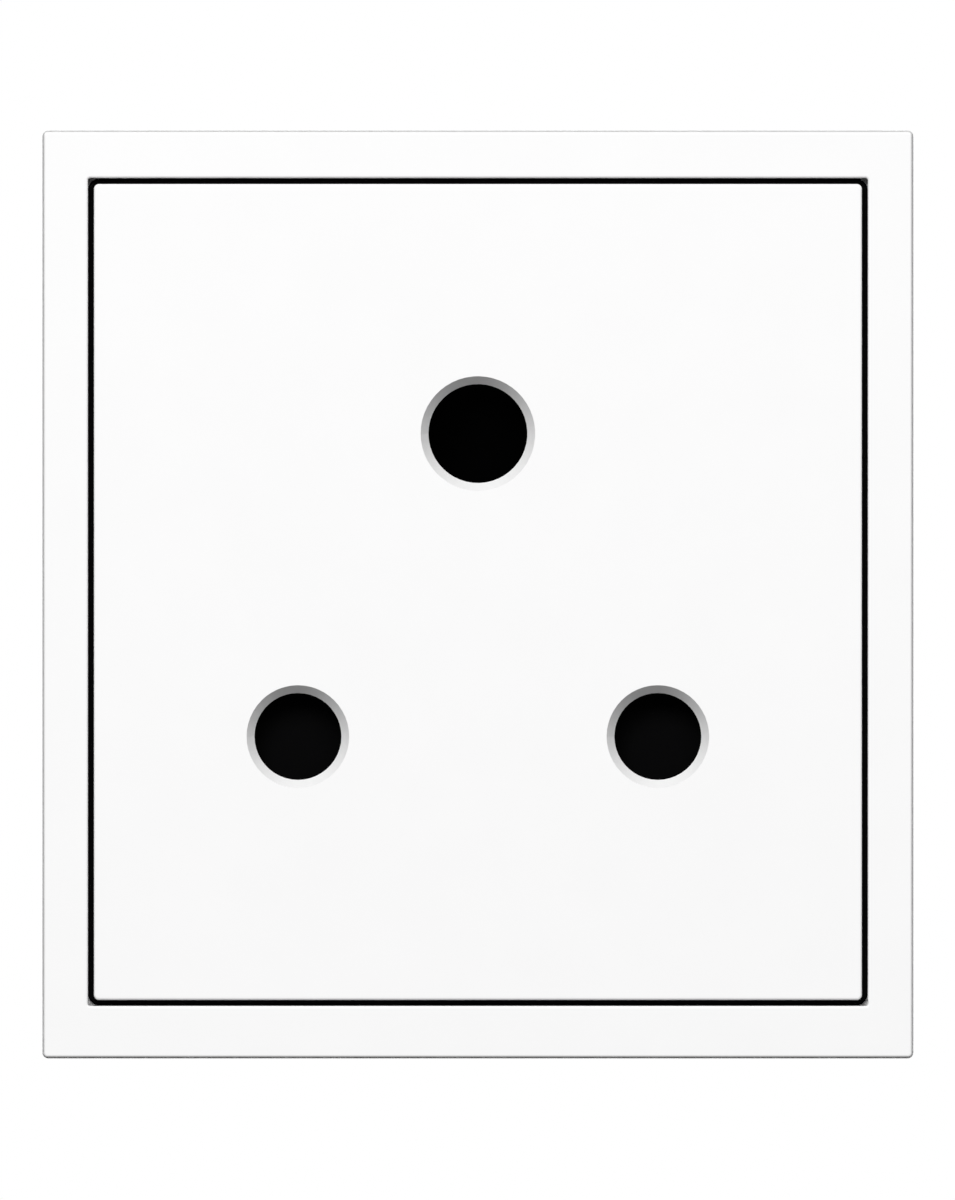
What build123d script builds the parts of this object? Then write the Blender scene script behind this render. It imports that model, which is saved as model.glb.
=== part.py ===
"""Flush wall socket outlet for round-pin plugs, with shutter, contacts and terminals."""

import os
from collections import namedtuple

from build123d import *

os.makedirs("parts", exist_ok=True)

# All sizes are in millimetres. Sketches are drawn as seen from the room: across is X and up is Z.
# A height is the distance from the wall towards the room; pieces inside the wall box have heights below zero.
FRONT_VIEW = Plane.XZ

# Visible plates
FRAME_W = 87.3
FRAME_H = 93.0
FRAME_DRAFT = 1.4
FRONT = 9.5
OPENING_W = 78.0
OPENING_H = 82.8
OPENING_RISE = 0.25
GAP = 0.6
EDGE_R = 0.25
FRAME_CORNER_R = 0.6
OPENING_CORNER_R = 0.25
LIP_CORNER_R = 1.2
LIP_CORNER_DEPTH = 2.4
PLATE_CORNER_R = 0.5
MOUTH_W = 0.78
MOUTH_ANGLE = 60.0

# Pins: place, hole in the plate and bore of the contact
Pole = namedtuple("Pole", "name x z hole_d pin_d")
LINE = Pole("line", 18.0, -14.2, 8.7, 7.06)
NEUTRAL = Pole("neutral", -18.0, -14.2, 8.7, 7.06)
EARTH = Pole("earth", 0.0, 16.1, 9.9, 8.71)
POLES = (LINE, NEUTRAL, EARTH)
PIN_PLAY = 0.14
PIN_LEAD = 0.5

# Cover frame walls
FRAME_SKIN = 1.8
FRAME_WALL = 1.6
FRAME_LIP = 1.2
LIP_FOOT = 2.6
RIB_T = 1.0
RIB_PITCH_X = 14.0
RIB_PITCH_Z = 15.0
RIBS_PER_SIDE = 5

# Centre plate
PLATE_W = OPENING_W - 2 * GAP
PLATE_H = OPENING_H - 2 * GAP
PLATE_SEAT = 8.2
PLATE_BACK = 7.2
HOOK_W = 8.0
HOOK_T = 1.4
HOOK_FOOT = 3.2
HOOK_Z = 24.0
BARB = 0.8
BARB_SLOPE = 0.3
HOOK_TIP = 0.4

# Clip frame
CLIP_PLAY = 0.1
CLIP_W = OPENING_W - 2 * CLIP_PLAY
CLIP_H = OPENING_H - 2 * CLIP_PLAY
CLIP_WALL = 1.2
CLIP_FOOT = 0.3
LIP_REST_W = 1.1
CATCH_Z = 11.0
CATCH_W = 7.4
CATCH_LOW = 3.8
CATCH_HIGH = 5.2
FLANGE_INNER_X = 34.4
FLANGE_T = 1.5
LATCH_Z = 24.0
LATCH_W = 6.0
LATCH_X = 32.2
LATCH_T = 1.4
LATCH_REACH = 1.9
BARB_PLAY = 0.05

# Support plate
SHEET_T = 1.2
SHEET_W = 72.0
SHEET_H = 78.0
SHEET_CORNER_R = 4.0
FIXING_CENTRES = 60.3
FIXING_SLOT_W = 4.0
FIXING_SLOT_L = 7.0
FIT = 0.3

# Socket insert: outline, split heights and screws
NECK_W = 50.8
NECK_H = 61.8
NECK_RISE = 1.5
NECK_CORNER_R = 2.0
SHOULDER = 1.6
GUIDE_FLANGE = 2.1
LUG_NOTCH_H = 13.0
LUG_NOTCH_W = 2.6
GUIDE_FRONT = 7.0
COLLAR_TOP = 7.9
COLLAR_T = 1.0
CHAMBER_TOP = 4.2
DECK = SHEET_T
HOUSING_BACK = -22.6
COVER_BACK = -25.0
COVER_EDGE = 0.6
BODY_SCREW_D = 2.9
BODY_SCREW_HEAD_D = 5.6
BODY_SCREW_TIP = 5.6
BODY_SCREW_POINT = 1.0
BODY_SCREWS = ((-20.5, 28.2), (20.5, 28.2), (-10.5, -26.3), (10.5, -26.3))

# Shutter
SHUTTER_PLAY = 0.2
SHUTTER_TRAVEL = 9.3
SHUTTER_STOP = 0.5
RAMP_CLEAR = 0.1
BLADE_MARGIN = 0.6
RAIL_X = 6.3
RAIL_W = 2.0
RAMP_W = 10.6
RAMP_BACK = -5.6
RAMP_TOE = 0.6
RAMP_LAND = 0.5
PEG_W = 4.0
PEG_T = 2.6
PEG_LOW = 6.3
SPRING_D = 2.6
SPRING_WIRE_D = 0.34
SPRING_TURNS = 5.5
SPRING_WIRE_SIDES = 6

# Contacts and terminals
LIVE_TUBE_FRONT = 0.4
LIVE_TUBE_T = 1.3
LIVE_BLOCK_FRONT = -10.4
LIVE_BLOCK_W = 12.0
EARTH_TUBE_FRONT = -7.2
EARTH_TUBE_T = 1.3
EARTH_BLOCK_FRONT = -14.4
EARTH_PILLAR_FRONT = -10.4
EARTH_BORE_END = -19.4
EARTH_BLOCK_LEFT = -6.0
EARTH_BLOCK_RIGHT = 9.0
EARTH_BLOCK_LOW = 10.1
EARTH_BLOCK_HIGH = 31.0
EARTH_PILLAR_LOW = 22.8
EARTH_SCREW_Z = 26.9
TERMINALS = ((LINE.x, LINE.z), (NEUTRAL.x, NEUTRAL.z), (EARTH.x, EARTH_SCREW_Z))
BLOCK_BACK = -22.0
SLIT_W = 1.0
BORE_CHAMFER = 0.5
RING_T = 0.7
RING_W = 2.2
RING_SETBACK = 2.0
RING_SPLIT = 1.4
RING_PLAY = 0.02
WIRE_HEIGHT = -15.6
WIRE_HOLE_D = 4.6
WIRE_ENTRY_D = 6.0
WIRE_FUNNEL = 0.8
WIRE_FLOOR = 1.5
TERMINAL_SCREW_D = 4.0
TERMINAL_HEAD_D = 6.2
TERMINAL_HEAD_T = 1.9
TERMINAL_SLOT = 1.0
TERMINAL_BACKED_OUT = 0.4
ACCESS_D = 7.2
ACCESS_RIM_T = 1.5
ACCESS_RIM_H = 1.8
ACCESS_LEAD = 0.5
BARRIER_T = 1.5
BARRIER_W = 38.0
BARRIER_Z = 7.0
BARRIER_DRAFT = 5.0
POCKET_PLAY = 0.1
SEAT_PLAY = 0.05

# Earth strap
STRAP_T = 0.8
STRAP_W = 5.0
STRAP_Z = 28.0
STRAP_FOOT_W = 7.0
STRAP_TOP = 38.4
STRAP_END = -20.0
RIVET_D = 2.4
RIVET_HEAD_D = 3.6
RIVET_HEAD_T = 0.9
RIVET_GRIP = 4.0
STRAP_RIVET_HEIGHT = -16.6
SHEET_RIVET_Z = 36.6
STRAP_FRONT = SHEET_T + STRAP_T


def at(height):
    """Sketch plane at a height above the wall, seen from the room."""
    return FRONT_VIEW.offset(height)


def save(part, name):
    """Label a finished piece and write its file."""
    part.label = name
    export_step(part, f"parts/{name}.step")


def insert_outline(grow):
    """Rounded outline of the socket insert, grown all round from the neck."""
    with Locations((0, NECK_RISE)):
        RectangleRounded(NECK_W + 2 * grow, NECK_H + 2 * grow, NECK_CORNER_R + grow)


def lug_notches(half_width):
    """Side notches that keep the insert clear of the wall box's screw lugs."""
    with Locations((-half_width, 0), (half_width, 0)):
        Rectangle(2 * LUG_NOTCH_W, LUG_NOTCH_H, mode=Mode.SUBTRACT)


# Cover frame: a border with a drafted outer wall, an inner lip and ribs between them, open at the back
with BuildPart(FRONT_VIEW) as cover_frame:
    with BuildSketch(at(0)):
        RectangleRounded(FRAME_W, FRAME_H, FRAME_CORNER_R)
    extrude(amount=FRONT, taper=FRAME_DRAFT)
    with BuildSketch(at(0)):
        with Locations((0, OPENING_RISE)):
            RectangleRounded(OPENING_W, OPENING_H, LIP_CORNER_R)
    extrude(amount=FRONT, mode=Mode.SUBTRACT)
    with BuildSketch(at(FRONT)):
        with Locations((0, OPENING_RISE)):
            RectangleRounded(OPENING_W, OPENING_H, OPENING_CORNER_R)
    extrude(amount=-LIP_CORNER_DEPTH, mode=Mode.SUBTRACT)
    fillet(cover_frame.faces().sort_by(Axis.Y)[0].edges(), EDGE_R)
    with BuildSketch(at(0)):
        Rectangle(FRAME_W - 2 * FRAME_WALL, FRAME_H - 2 * FRAME_WALL)
        with Locations((0, OPENING_RISE)):
            Rectangle(OPENING_W + 2 * FRAME_LIP, OPENING_H + 2 * FRAME_LIP, mode=Mode.SUBTRACT)
    extrude(amount=FRONT - FRAME_SKIN, mode=Mode.SUBTRACT)
    with BuildSketch(at(0)):
        with Locations((0, OPENING_RISE)):
            Rectangle(OPENING_W + 2 * FRAME_LIP, OPENING_H + 2 * FRAME_LIP)
    extrude(amount=LIP_FOOT, mode=Mode.SUBTRACT)
    with BuildSketch(at(LIP_FOOT)):
        with GridLocations(0, RIB_PITCH_Z, 1, RIBS_PER_SIDE):
            Rectangle(FRAME_W - FRAME_WALL, RIB_T)
        with GridLocations(RIB_PITCH_X, 0, RIBS_PER_SIDE, 1):
            Rectangle(RIB_T, FRAME_H - FRAME_WALL)
        with Locations((0, OPENING_RISE)):
            Rectangle(OPENING_W + FRAME_LIP, OPENING_H + FRAME_LIP, mode=Mode.SUBTRACT)
    extrude(amount=FRONT - FRAME_SKIN - LIP_FOOT)
    lip_x = OPENING_W / 2 + FRAME_LIP / 2
    catch_height = (CATCH_LOW + CATCH_HIGH) / 2
    with Locations(
        (-lip_x, -CATCH_Z, catch_height),
        (-lip_x, CATCH_Z, catch_height),
        (lip_x, -CATCH_Z, catch_height),
        (lip_x, CATCH_Z, catch_height),
    ):
        Box(2 * FRAME_LIP, CATCH_W + FIT, CATCH_HIGH - CATCH_LOW + FIT, mode=Mode.SUBTRACT)
save(cover_frame.part, "cover_frame")

# Centre plate: rests on the clip frame's rim, with chamfered pin holes and four snap hooks behind
with BuildPart(FRONT_VIEW) as centre_plate:
    with BuildSketch(at(PLATE_SEAT)):
        with Locations((0, OPENING_RISE)):
            RectangleRounded(PLATE_W, PLATE_H, PLATE_CORNER_R)
    extrude(amount=FRONT - PLATE_SEAT)
    fillet(centre_plate.faces().sort_by(Axis.Y)[0].edges(), EDGE_R)
    field_inset = CLIP_PLAY - GAP + CLIP_WALL + POCKET_PLAY
    with BuildSketch(at(PLATE_BACK)):
        with Locations((0, OPENING_RISE)):
            Rectangle(PLATE_W - 2 * field_inset, PLATE_H - 2 * field_inset)
    extrude(amount=PLATE_SEAT - PLATE_BACK)
    hook_x = PLATE_W / 2 - field_inset
    for hook_z in (-HOOK_Z, HOOK_Z):
        with BuildSketch(Plane.XY.offset(hook_z - HOOK_W / 2)):
            with BuildLine():
                Polyline(
                    (hook_x - HOOK_T, -PLATE_BACK),
                    (hook_x, -PLATE_BACK),
                    (hook_x, -CATCH_HIGH),
                    (hook_x + BARB, -CATCH_HIGH + BARB_SLOPE),
                    (hook_x, -HOOK_FOOT - HOOK_TIP),
                    (hook_x - HOOK_TIP, -HOOK_FOOT),
                    (hook_x - HOOK_T, -HOOK_FOOT),
                    close=True,
                )
            make_face()
        extrude(amount=HOOK_W)
    mirror(about=Plane.YZ)
    for pole in POLES:
        with Locations((pole.x, pole.z, FRONT)):
            CounterSinkHole(
                pole.hole_d / 2,
                pole.hole_d / 2 + MOUTH_W,
                depth=FRONT - PLATE_BACK,
                counter_sink_angle=MOUTH_ANGLE,
            )
        with BuildSketch(at(PLATE_BACK)):
            with Locations((pole.x, pole.z)):
                Circle(pole.hole_d / 2 + COLLAR_T + POCKET_PLAY)
        extrude(amount=COLLAR_TOP + SEAT_PLAY - PLATE_BACK, mode=Mode.SUBTRACT)
save(centre_plate.part, "centre_plate")

# Clip frame: upright rim in the gap, a rest for the lip, flanges, latches through the sheet and side catches
with BuildPart(FRONT_VIEW) as clip_frame:
    with BuildSketch(at(CLIP_FOOT)):
        with Locations((0, OPENING_RISE)):
            RectangleRounded(CLIP_W, CLIP_H, LIP_CORNER_R - CLIP_PLAY)
            Rectangle(CLIP_W - 2 * CLIP_WALL, CLIP_H - 2 * CLIP_WALL, mode=Mode.SUBTRACT)
    extrude(amount=PLATE_SEAT - CLIP_FOOT)
    with BuildSketch(at(CLIP_FOOT)):
        with Locations((0, OPENING_RISE)):
            RectangleRounded(CLIP_W + 2 * LIP_REST_W, CLIP_H + 2 * LIP_REST_W, LIP_CORNER_R)
            Rectangle(CLIP_W - 2 * CLIP_WALL, CLIP_H - 2 * CLIP_WALL, mode=Mode.SUBTRACT)
    extrude(amount=LIP_FOOT - CLIP_PLAY - CLIP_FOOT)
    rim_x = CLIP_W / 2
    with BuildSketch(at(SHEET_T)):
        for side in (-1, 1):
            with Locations((side * (FLANGE_INNER_X + rim_x) / 2, 0)):
                Rectangle(rim_x - FLANGE_INNER_X, SHEET_H)
            for latch_z in (-LATCH_Z, LATCH_Z):
                with Locations((side * (LATCH_X + rim_x) / 2, latch_z)):
                    Rectangle(rim_x - LATCH_X, LATCH_W)
    extrude(amount=FLANGE_T)
    for latch_z in (-LATCH_Z, LATCH_Z):
        with BuildSketch(Plane.XY.offset(latch_z - LATCH_W / 2)):
            with BuildLine():
                Polyline(
                    (LATCH_X, -SHEET_T),
                    (LATCH_X + LATCH_T, -SHEET_T),
                    (LATCH_X + LATCH_T, BARB_PLAY),
                    (LATCH_X + LATCH_T + BARB, BARB_PLAY + BARB_SLOPE),
                    (LATCH_X + LATCH_T, LATCH_REACH),
                    (LATCH_X, LATCH_REACH),
                    close=True,
                )
            make_face()
        extrude(amount=LATCH_W)
    for catch_z in (-CATCH_Z, CATCH_Z):
        with BuildSketch(Plane.XY.offset(catch_z - CATCH_W / 2)):
            with BuildLine():
                Polyline(
                    (rim_x - CLIP_WALL, -CATCH_LOW),
                    (rim_x + BARB, -CATCH_LOW),
                    (rim_x, -CATCH_HIGH),
                    (rim_x - CLIP_WALL, -CATCH_HIGH),
                    close=True,
                )
            make_face()
        extrude(amount=CATCH_W)
    mirror(about=Plane.YZ)
    window_height = (HOOK_FOOT + CATCH_HIGH) / 2
    with Locations(
        (-rim_x, -HOOK_Z, window_height),
        (-rim_x, HOOK_Z, window_height),
        (rim_x, -HOOK_Z, window_height),
        (rim_x, HOOK_Z, window_height),
    ):
        Box(4 * CLIP_WALL, HOOK_W + FIT, CATCH_HIGH - HOOK_FOOT + FIT, mode=Mode.SUBTRACT)
save(clip_frame.part, "clip_frame")

# Support plate: sheet steel with the insert's window, two fixing slots and slots for the latches
with BuildPart(FRONT_VIEW) as support_plate:
    with BuildSketch(at(0)):
        RectangleRounded(SHEET_W, SHEET_H, SHEET_CORNER_R)
        with Locations((0, NECK_RISE)):
            RectangleRounded(NECK_W + 2 * FIT, NECK_H + 2 * FIT, NECK_CORNER_R + FIT, mode=Mode.SUBTRACT)
        with Locations((-FIXING_CENTRES / 2, 0), (FIXING_CENTRES / 2, 0)):
            SlotOverall(FIXING_SLOT_L, FIXING_SLOT_W, mode=Mode.SUBTRACT)
        latch_mid = LATCH_X + LATCH_T / 2
        with Locations(
            (-latch_mid, -LATCH_Z), (-latch_mid, LATCH_Z), (latch_mid, -LATCH_Z), (latch_mid, LATCH_Z)
        ):
            Rectangle(LATCH_T + FIT, LATCH_W + 2 * FIT, mode=Mode.SUBTRACT)
        with Locations((EARTH_BLOCK_RIGHT + STRAP_FOOT_W / 2, SHEET_RIVET_Z)):
            Circle(RIVET_D / 2 + SEAT_PLAY, mode=Mode.SUBTRACT)
    extrude(amount=SHEET_T)
save(support_plate.part, "support_plate")

# Pin guide: front body of the socket with three collars, the shutter chamber and blind screw holes
blade_span = LINE.x - NEUTRAL.x + LINE.hole_d + 2 * BLADE_MARGIN
blade_low = LINE.z - LINE.hole_d / 2 - BLADE_MARGIN
blade_high = LINE.z + LINE.hole_d / 2 + BLADE_MARGIN
ramp_low = EARTH.z + EARTH.pin_d / 2 + RAMP_CLEAR - SHUTTER_TRAVEL
ramp_high = EARTH.z + EARTH.hole_d / 2 + RAMP_CLEAR
wedge_top = ramp_high + RAMP_LAND
chamber_side = RAIL_X + RAIL_W / 2 + SHUTTER_PLAY
chamber_low = blade_low - SHUTTER_PLAY
chamber_mid = blade_high + SHUTTER_TRAVEL + SHUTTER_STOP
chamber_high = wedge_top + SHUTTER_TRAVEL + SHUTTER_STOP
with BuildPart(FRONT_VIEW) as pin_guide:
    with BuildSketch(at(SHEET_T)):
        insert_outline(GUIDE_FLANGE)
        lug_notches(NECK_W / 2 + GUIDE_FLANGE + LUG_NOTCH_W / 2)
    extrude(amount=GUIDE_FRONT - SHEET_T)
    for pole in POLES:
        with BuildSketch(at(GUIDE_FRONT)):
            with Locations((pole.x, pole.z)):
                Circle(pole.hole_d / 2 + COLLAR_T)
        extrude(amount=COLLAR_TOP - GUIDE_FRONT)
        with BuildSketch(at(SHEET_T)):
            with Locations((pole.x, pole.z)):
                Circle(pole.hole_d / 2)
        extrude(amount=COLLAR_TOP - SHEET_T, mode=Mode.SUBTRACT)
    with BuildSketch(at(SHEET_T)):
        with Locations((0, (chamber_low + chamber_mid) / 2)):
            Rectangle(blade_span + 2 * SHUTTER_PLAY, chamber_mid - chamber_low)
        with Locations((0, (chamber_low + chamber_high) / 2)):
            Rectangle(2 * chamber_side, chamber_high - chamber_low)
    extrude(amount=CHAMBER_TOP - SHEET_T, mode=Mode.SUBTRACT)
    with BuildSketch(at(SHEET_T)):
        with Locations((EARTH_BLOCK_RIGHT + STRAP_FOOT_W / 2, (STRAP_Z + STRAP_TOP) / 2)):
            Rectangle(STRAP_FOOT_W + 2 * FIT, STRAP_TOP - STRAP_Z + STRAP_W + FIT)
    extrude(amount=STRAP_T + POCKET_PLAY, mode=Mode.SUBTRACT)
    for screw_x, screw_z in BODY_SCREWS:
        with BuildSketch(at(SHEET_T)):
            with Locations((screw_x, screw_z)):
                Circle(BODY_SCREW_D / 2 + SEAT_PLAY)
        extrude(amount=BODY_SCREW_TIP + FIT - SHEET_T, mode=Mode.SUBTRACT)
save(pin_guide.part, "pin_guide")

# Shutter: blades over the lower holes, two rails and a ramp that the upper pin pushes up
shutter_back = DECK + SHUTTER_PLAY
shutter_front = CHAMBER_TOP - SHUTTER_PLAY
with BuildPart(FRONT_VIEW) as shutter:
    with BuildSketch(at(shutter_back)):
        with Locations((0, (blade_low + blade_high) / 2)):
            Rectangle(blade_span, blade_high - blade_low)
        with Locations((-RAIL_X, (blade_low + wedge_top) / 2), (RAIL_X, (blade_low + wedge_top) / 2)):
            Rectangle(RAIL_W, wedge_top - blade_low)
    extrude(amount=shutter_front - shutter_back)
    with BuildSketch(Plane.YZ):
        with BuildLine():
            Polyline(
                (-shutter_front, wedge_top),
                (-shutter_front, ramp_high),
                (-RAMP_BACK - RAMP_TOE, ramp_low),
                (-RAMP_BACK, ramp_low),
                (-RAMP_BACK, wedge_top),
                close=True,
            )
        make_face()
    extrude(amount=RAMP_W / 2, both=True)
save(shutter.part, "shutter")

# Shutter spring: coil between the blades' upper edge and the peg on the housing
spring_low = blade_high
spring_axis = (shutter_back + shutter_front) / 2
spring_r = (SPRING_D - SPRING_WIRE_D) / 2
spring_rise = PEG_LOW - spring_low - SPRING_WIRE_D - 2 * SEAT_PLAY
with BuildPart() as shutter_spring:
    with BuildLine():
        coil = Helix(
            spring_rise / SPRING_TURNS,
            spring_rise,
            spring_r,
            center=(0, -spring_axis, spring_low + SPRING_WIRE_D / 2 + SEAT_PLAY),
        )
    with BuildSketch(Plane(origin=coil @ 0, z_dir=coil % 0)):
        RegularPolygon(SPRING_WIRE_D / 2, SPRING_WIRE_SIDES)
    sweep(path=coil, is_frenet=True)
save(shutter_spring.part, "shutter_spring")

# Contact housing: moulding in the wall box with pockets for the contacts and room for the ramp
strap_x = EARTH_BLOCK_RIGHT + STRAP_T
housing_low = NECK_RISE - NECK_H / 2 - SHOULDER
housing_high = NECK_RISE + NECK_H / 2 + SHOULDER
with BuildPart(FRONT_VIEW) as contact_housing:
    with BuildSketch(at(HOUSING_BACK)):
        insert_outline(SHOULDER)
        lug_notches(NECK_W / 2 + SHOULDER)
    extrude(amount=-HOUSING_BACK)
    with BuildSketch(at(0)):
        insert_outline(0)
    extrude(amount=DECK)
    with Locations((0, PEG_LOW + PEG_T / 2, DECK)):
        Box(PEG_W, PEG_T, shutter_front - DECK, align=(Align.CENTER, Align.CENTER, Align.MIN))
    with BuildSketch(at(RAMP_BACK - SHUTTER_STOP)):
        with Locations((0, (ramp_low - SHUTTER_STOP + chamber_high) / 2)):
            Rectangle(RAMP_W + 2 * FIT, chamber_high - ramp_low + SHUTTER_STOP)
    extrude(amount=DECK - RAMP_BACK + SHUTTER_STOP, mode=Mode.SUBTRACT)
    for pole in (LINE, NEUTRAL):
        tube_r = (pole.pin_d + PIN_PLAY) / 2 + LIVE_TUBE_T
        with BuildSketch(at(HOUSING_BACK)):
            with Locations((pole.x, pole.z)):
                Circle(tube_r + RING_T + 2 * POCKET_PLAY)
        extrude(amount=LIVE_TUBE_FRONT + POCKET_PLAY - HOUSING_BACK, mode=Mode.SUBTRACT)
        with BuildSketch(at(HOUSING_BACK)):
            with Locations((pole.x, pole.z)):
                Rectangle(LIVE_BLOCK_W + 2 * POCKET_PLAY, LIVE_BLOCK_W + 2 * POCKET_PLAY)
        extrude(amount=LIVE_BLOCK_FRONT - HOUSING_BACK, mode=Mode.SUBTRACT)
        with BuildSketch(at(0)):
            with Locations((pole.x, pole.z)):
                Circle(pole.pin_d / 2 + PIN_LEAD)
        extrude(amount=DECK, mode=Mode.SUBTRACT)
        with BuildSketch(Plane.XY.offset(housing_low)):
            with Locations((pole.x, -WIRE_HEIGHT)):
                Circle(WIRE_ENTRY_D / 2)
        extrude(amount=pole.z - housing_low, mode=Mode.SUBTRACT)
    earth_tube_r = (EARTH.pin_d + PIN_PLAY) / 2 + EARTH_TUBE_T
    earth_mid_x = (EARTH_BLOCK_LEFT + EARTH_BLOCK_RIGHT) / 2
    earth_w = EARTH_BLOCK_RIGHT - EARTH_BLOCK_LEFT
    with BuildSketch(at(HOUSING_BACK)):
        with Locations((EARTH.x, EARTH.z)):
            Circle(earth_tube_r + RING_T + 2 * POCKET_PLAY)
    extrude(amount=EARTH_TUBE_FRONT + POCKET_PLAY - HOUSING_BACK, mode=Mode.SUBTRACT)
    with BuildSketch(at(HOUSING_BACK)):
        with Locations((EARTH.x, EARTH.z)):
            Circle(EARTH.pin_d / 2 + PIN_LEAD)
    extrude(amount=RAMP_BACK - HOUSING_BACK, mode=Mode.SUBTRACT)
    with BuildSketch(at(HOUSING_BACK)):
        with Locations((earth_mid_x, (EARTH_BLOCK_LOW + EARTH_BLOCK_HIGH) / 2)):
            Rectangle(earth_w + 2 * POCKET_PLAY, EARTH_BLOCK_HIGH - EARTH_BLOCK_LOW + 2 * POCKET_PLAY)
    extrude(amount=EARTH_BLOCK_FRONT - HOUSING_BACK, mode=Mode.SUBTRACT)
    with BuildSketch(at(HOUSING_BACK)):
        with Locations((earth_mid_x, (EARTH_PILLAR_LOW + EARTH_BLOCK_HIGH) / 2)):
            Rectangle(earth_w + 2 * POCKET_PLAY, EARTH_BLOCK_HIGH - EARTH_PILLAR_LOW + 2 * POCKET_PLAY)
    extrude(amount=EARTH_PILLAR_FRONT - HOUSING_BACK, mode=Mode.SUBTRACT)
    with BuildSketch(at(HOUSING_BACK)):
        with Locations((strap_x, STRAP_Z)):
            Rectangle(2 * (RIVET_HEAD_T + FIT), STRAP_W + 2 * FIT)
    extrude(amount=DECK - HOUSING_BACK, mode=Mode.SUBTRACT)
    with BuildSketch(Plane.XY.offset(EARTH_SCREW_Z)):
        with Locations((EARTH.x, -WIRE_HEIGHT)):
            Circle(WIRE_ENTRY_D / 2)
    extrude(amount=housing_high - EARTH_SCREW_Z, mode=Mode.SUBTRACT)
    round_edges = contact_housing.edges().filter_by(GeomType.CIRCLE).sort_by(Axis.Z)
    chamfer([*round_edges[:2], round_edges[-1]], WIRE_FUNNEL)
    for screw_x, screw_z in BODY_SCREWS:
        with BuildSketch(at(HOUSING_BACK)):
            with Locations((screw_x, screw_z)):
                Circle(BODY_SCREW_D / 2 + POCKET_PLAY)
        extrude(amount=DECK - HOUSING_BACK, mode=Mode.SUBTRACT)
save(contact_housing.part, "contact_housing")

# Rear cover: closes the housing, with rims round the access holes and a barrier between the terminals
with BuildPart(FRONT_VIEW) as rear_cover:
    with BuildSketch(at(COVER_BACK)):
        insert_outline(SHOULDER)
        lug_notches(NECK_W / 2 + SHOULDER)
    extrude(amount=HOUSING_BACK - COVER_BACK)
    chamfer(rear_cover.faces().sort_by(Axis.Y)[-1].edges(), COVER_EDGE)
    barrier_low = housing_low + 2 * COVER_EDGE
    with BuildSketch(at(COVER_BACK)):
        with Locations(*TERMINALS):
            Circle(ACCESS_D / 2 + ACCESS_RIM_T)
        with Locations((0, BARRIER_Z)):
            Rectangle(BARRIER_W, BARRIER_T)
        with Locations((0, (barrier_low + BARRIER_Z) / 2)):
            Rectangle(BARRIER_T, BARRIER_Z - barrier_low)
    extrude(amount=-ACCESS_RIM_H, taper=BARRIER_DRAFT)
    for access_x, access_z in TERMINALS:
        with Locations((access_x, access_z, COVER_BACK - ACCESS_RIM_H)):
            Cone(
                ACCESS_D / 2 + ACCESS_LEAD,
                ACCESS_D / 2,
                ACCESS_LEAD,
                align=(Align.CENTER, Align.CENTER, Align.MIN),
                mode=Mode.SUBTRACT,
            )
    with BuildSketch(at(COVER_BACK - ACCESS_RIM_H)):
        with Locations(*TERMINALS):
            Circle(ACCESS_D / 2)
    extrude(amount=HOUSING_BACK - COVER_BACK + ACCESS_RIM_H, mode=Mode.SUBTRACT)
    with BuildSketch(at(COVER_BACK)):
        with Locations(*BODY_SCREWS):
            Circle(BODY_SCREW_D / 2 + POCKET_PLAY)
    extrude(amount=HOUSING_BACK - COVER_BACK, mode=Mode.SUBTRACT)
    for screw_x, screw_z in BODY_SCREWS:
        with Locations((screw_x, screw_z, COVER_BACK)):
            Cone(
                BODY_SCREW_HEAD_D / 2 + SEAT_PLAY,
                BODY_SCREW_D / 2 + SEAT_PLAY,
                (BODY_SCREW_HEAD_D - BODY_SCREW_D) / 2,
                align=(Align.CENTER, Align.CENTER, Align.MIN),
                mode=Mode.SUBTRACT,
            )
save(rear_cover.part, "rear_cover")


def live_contact(pole):
    """Split contact tube with its terminal block, wire hole and screw hole."""
    bore_r = (pole.pin_d + PIN_PLAY) / 2
    with BuildPart(FRONT_VIEW) as contact:
        with BuildSketch(at(LIVE_BLOCK_FRONT)):
            with Locations((pole.x, pole.z)):
                Circle(bore_r + LIVE_TUBE_T)
        extrude(amount=LIVE_TUBE_FRONT - LIVE_BLOCK_FRONT)
        with BuildSketch(at(BLOCK_BACK)):
            with Locations((pole.x, pole.z)):
                Rectangle(LIVE_BLOCK_W, LIVE_BLOCK_W)
        extrude(amount=LIVE_BLOCK_FRONT - BLOCK_BACK)
        with BuildSketch(at(LIVE_BLOCK_FRONT)):
            with Locations((pole.x, pole.z)):
                Circle(bore_r)
        extrude(amount=LIVE_TUBE_FRONT - LIVE_BLOCK_FRONT, mode=Mode.SUBTRACT)
        mouth = contact.edges().filter_by(GeomType.CIRCLE).group_by(Axis.Y)[0].sort_by(SortBy.RADIUS)[0]
        chamfer(mouth, BORE_CHAMFER)
        with BuildSketch(at(LIVE_BLOCK_FRONT)):
            with Locations((pole.x, pole.z)):
                Rectangle(SLIT_W, 3 * bore_r)
        extrude(amount=LIVE_TUBE_FRONT - LIVE_BLOCK_FRONT, mode=Mode.SUBTRACT)
        with BuildSketch(Plane.XY.offset(pole.z - LIVE_BLOCK_W / 2)):
            with Locations((pole.x, -WIRE_HEIGHT)):
                Circle(WIRE_HOLE_D / 2)
        extrude(amount=LIVE_BLOCK_W - WIRE_FLOOR, mode=Mode.SUBTRACT)
        with BuildSketch(at(BLOCK_BACK)):
            with Locations((pole.x, pole.z)):
                Circle(TERMINAL_SCREW_D / 2 + SEAT_PLAY)
        extrude(amount=WIRE_HEIGHT - BLOCK_BACK, mode=Mode.SUBTRACT)
    return contact.part


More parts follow.
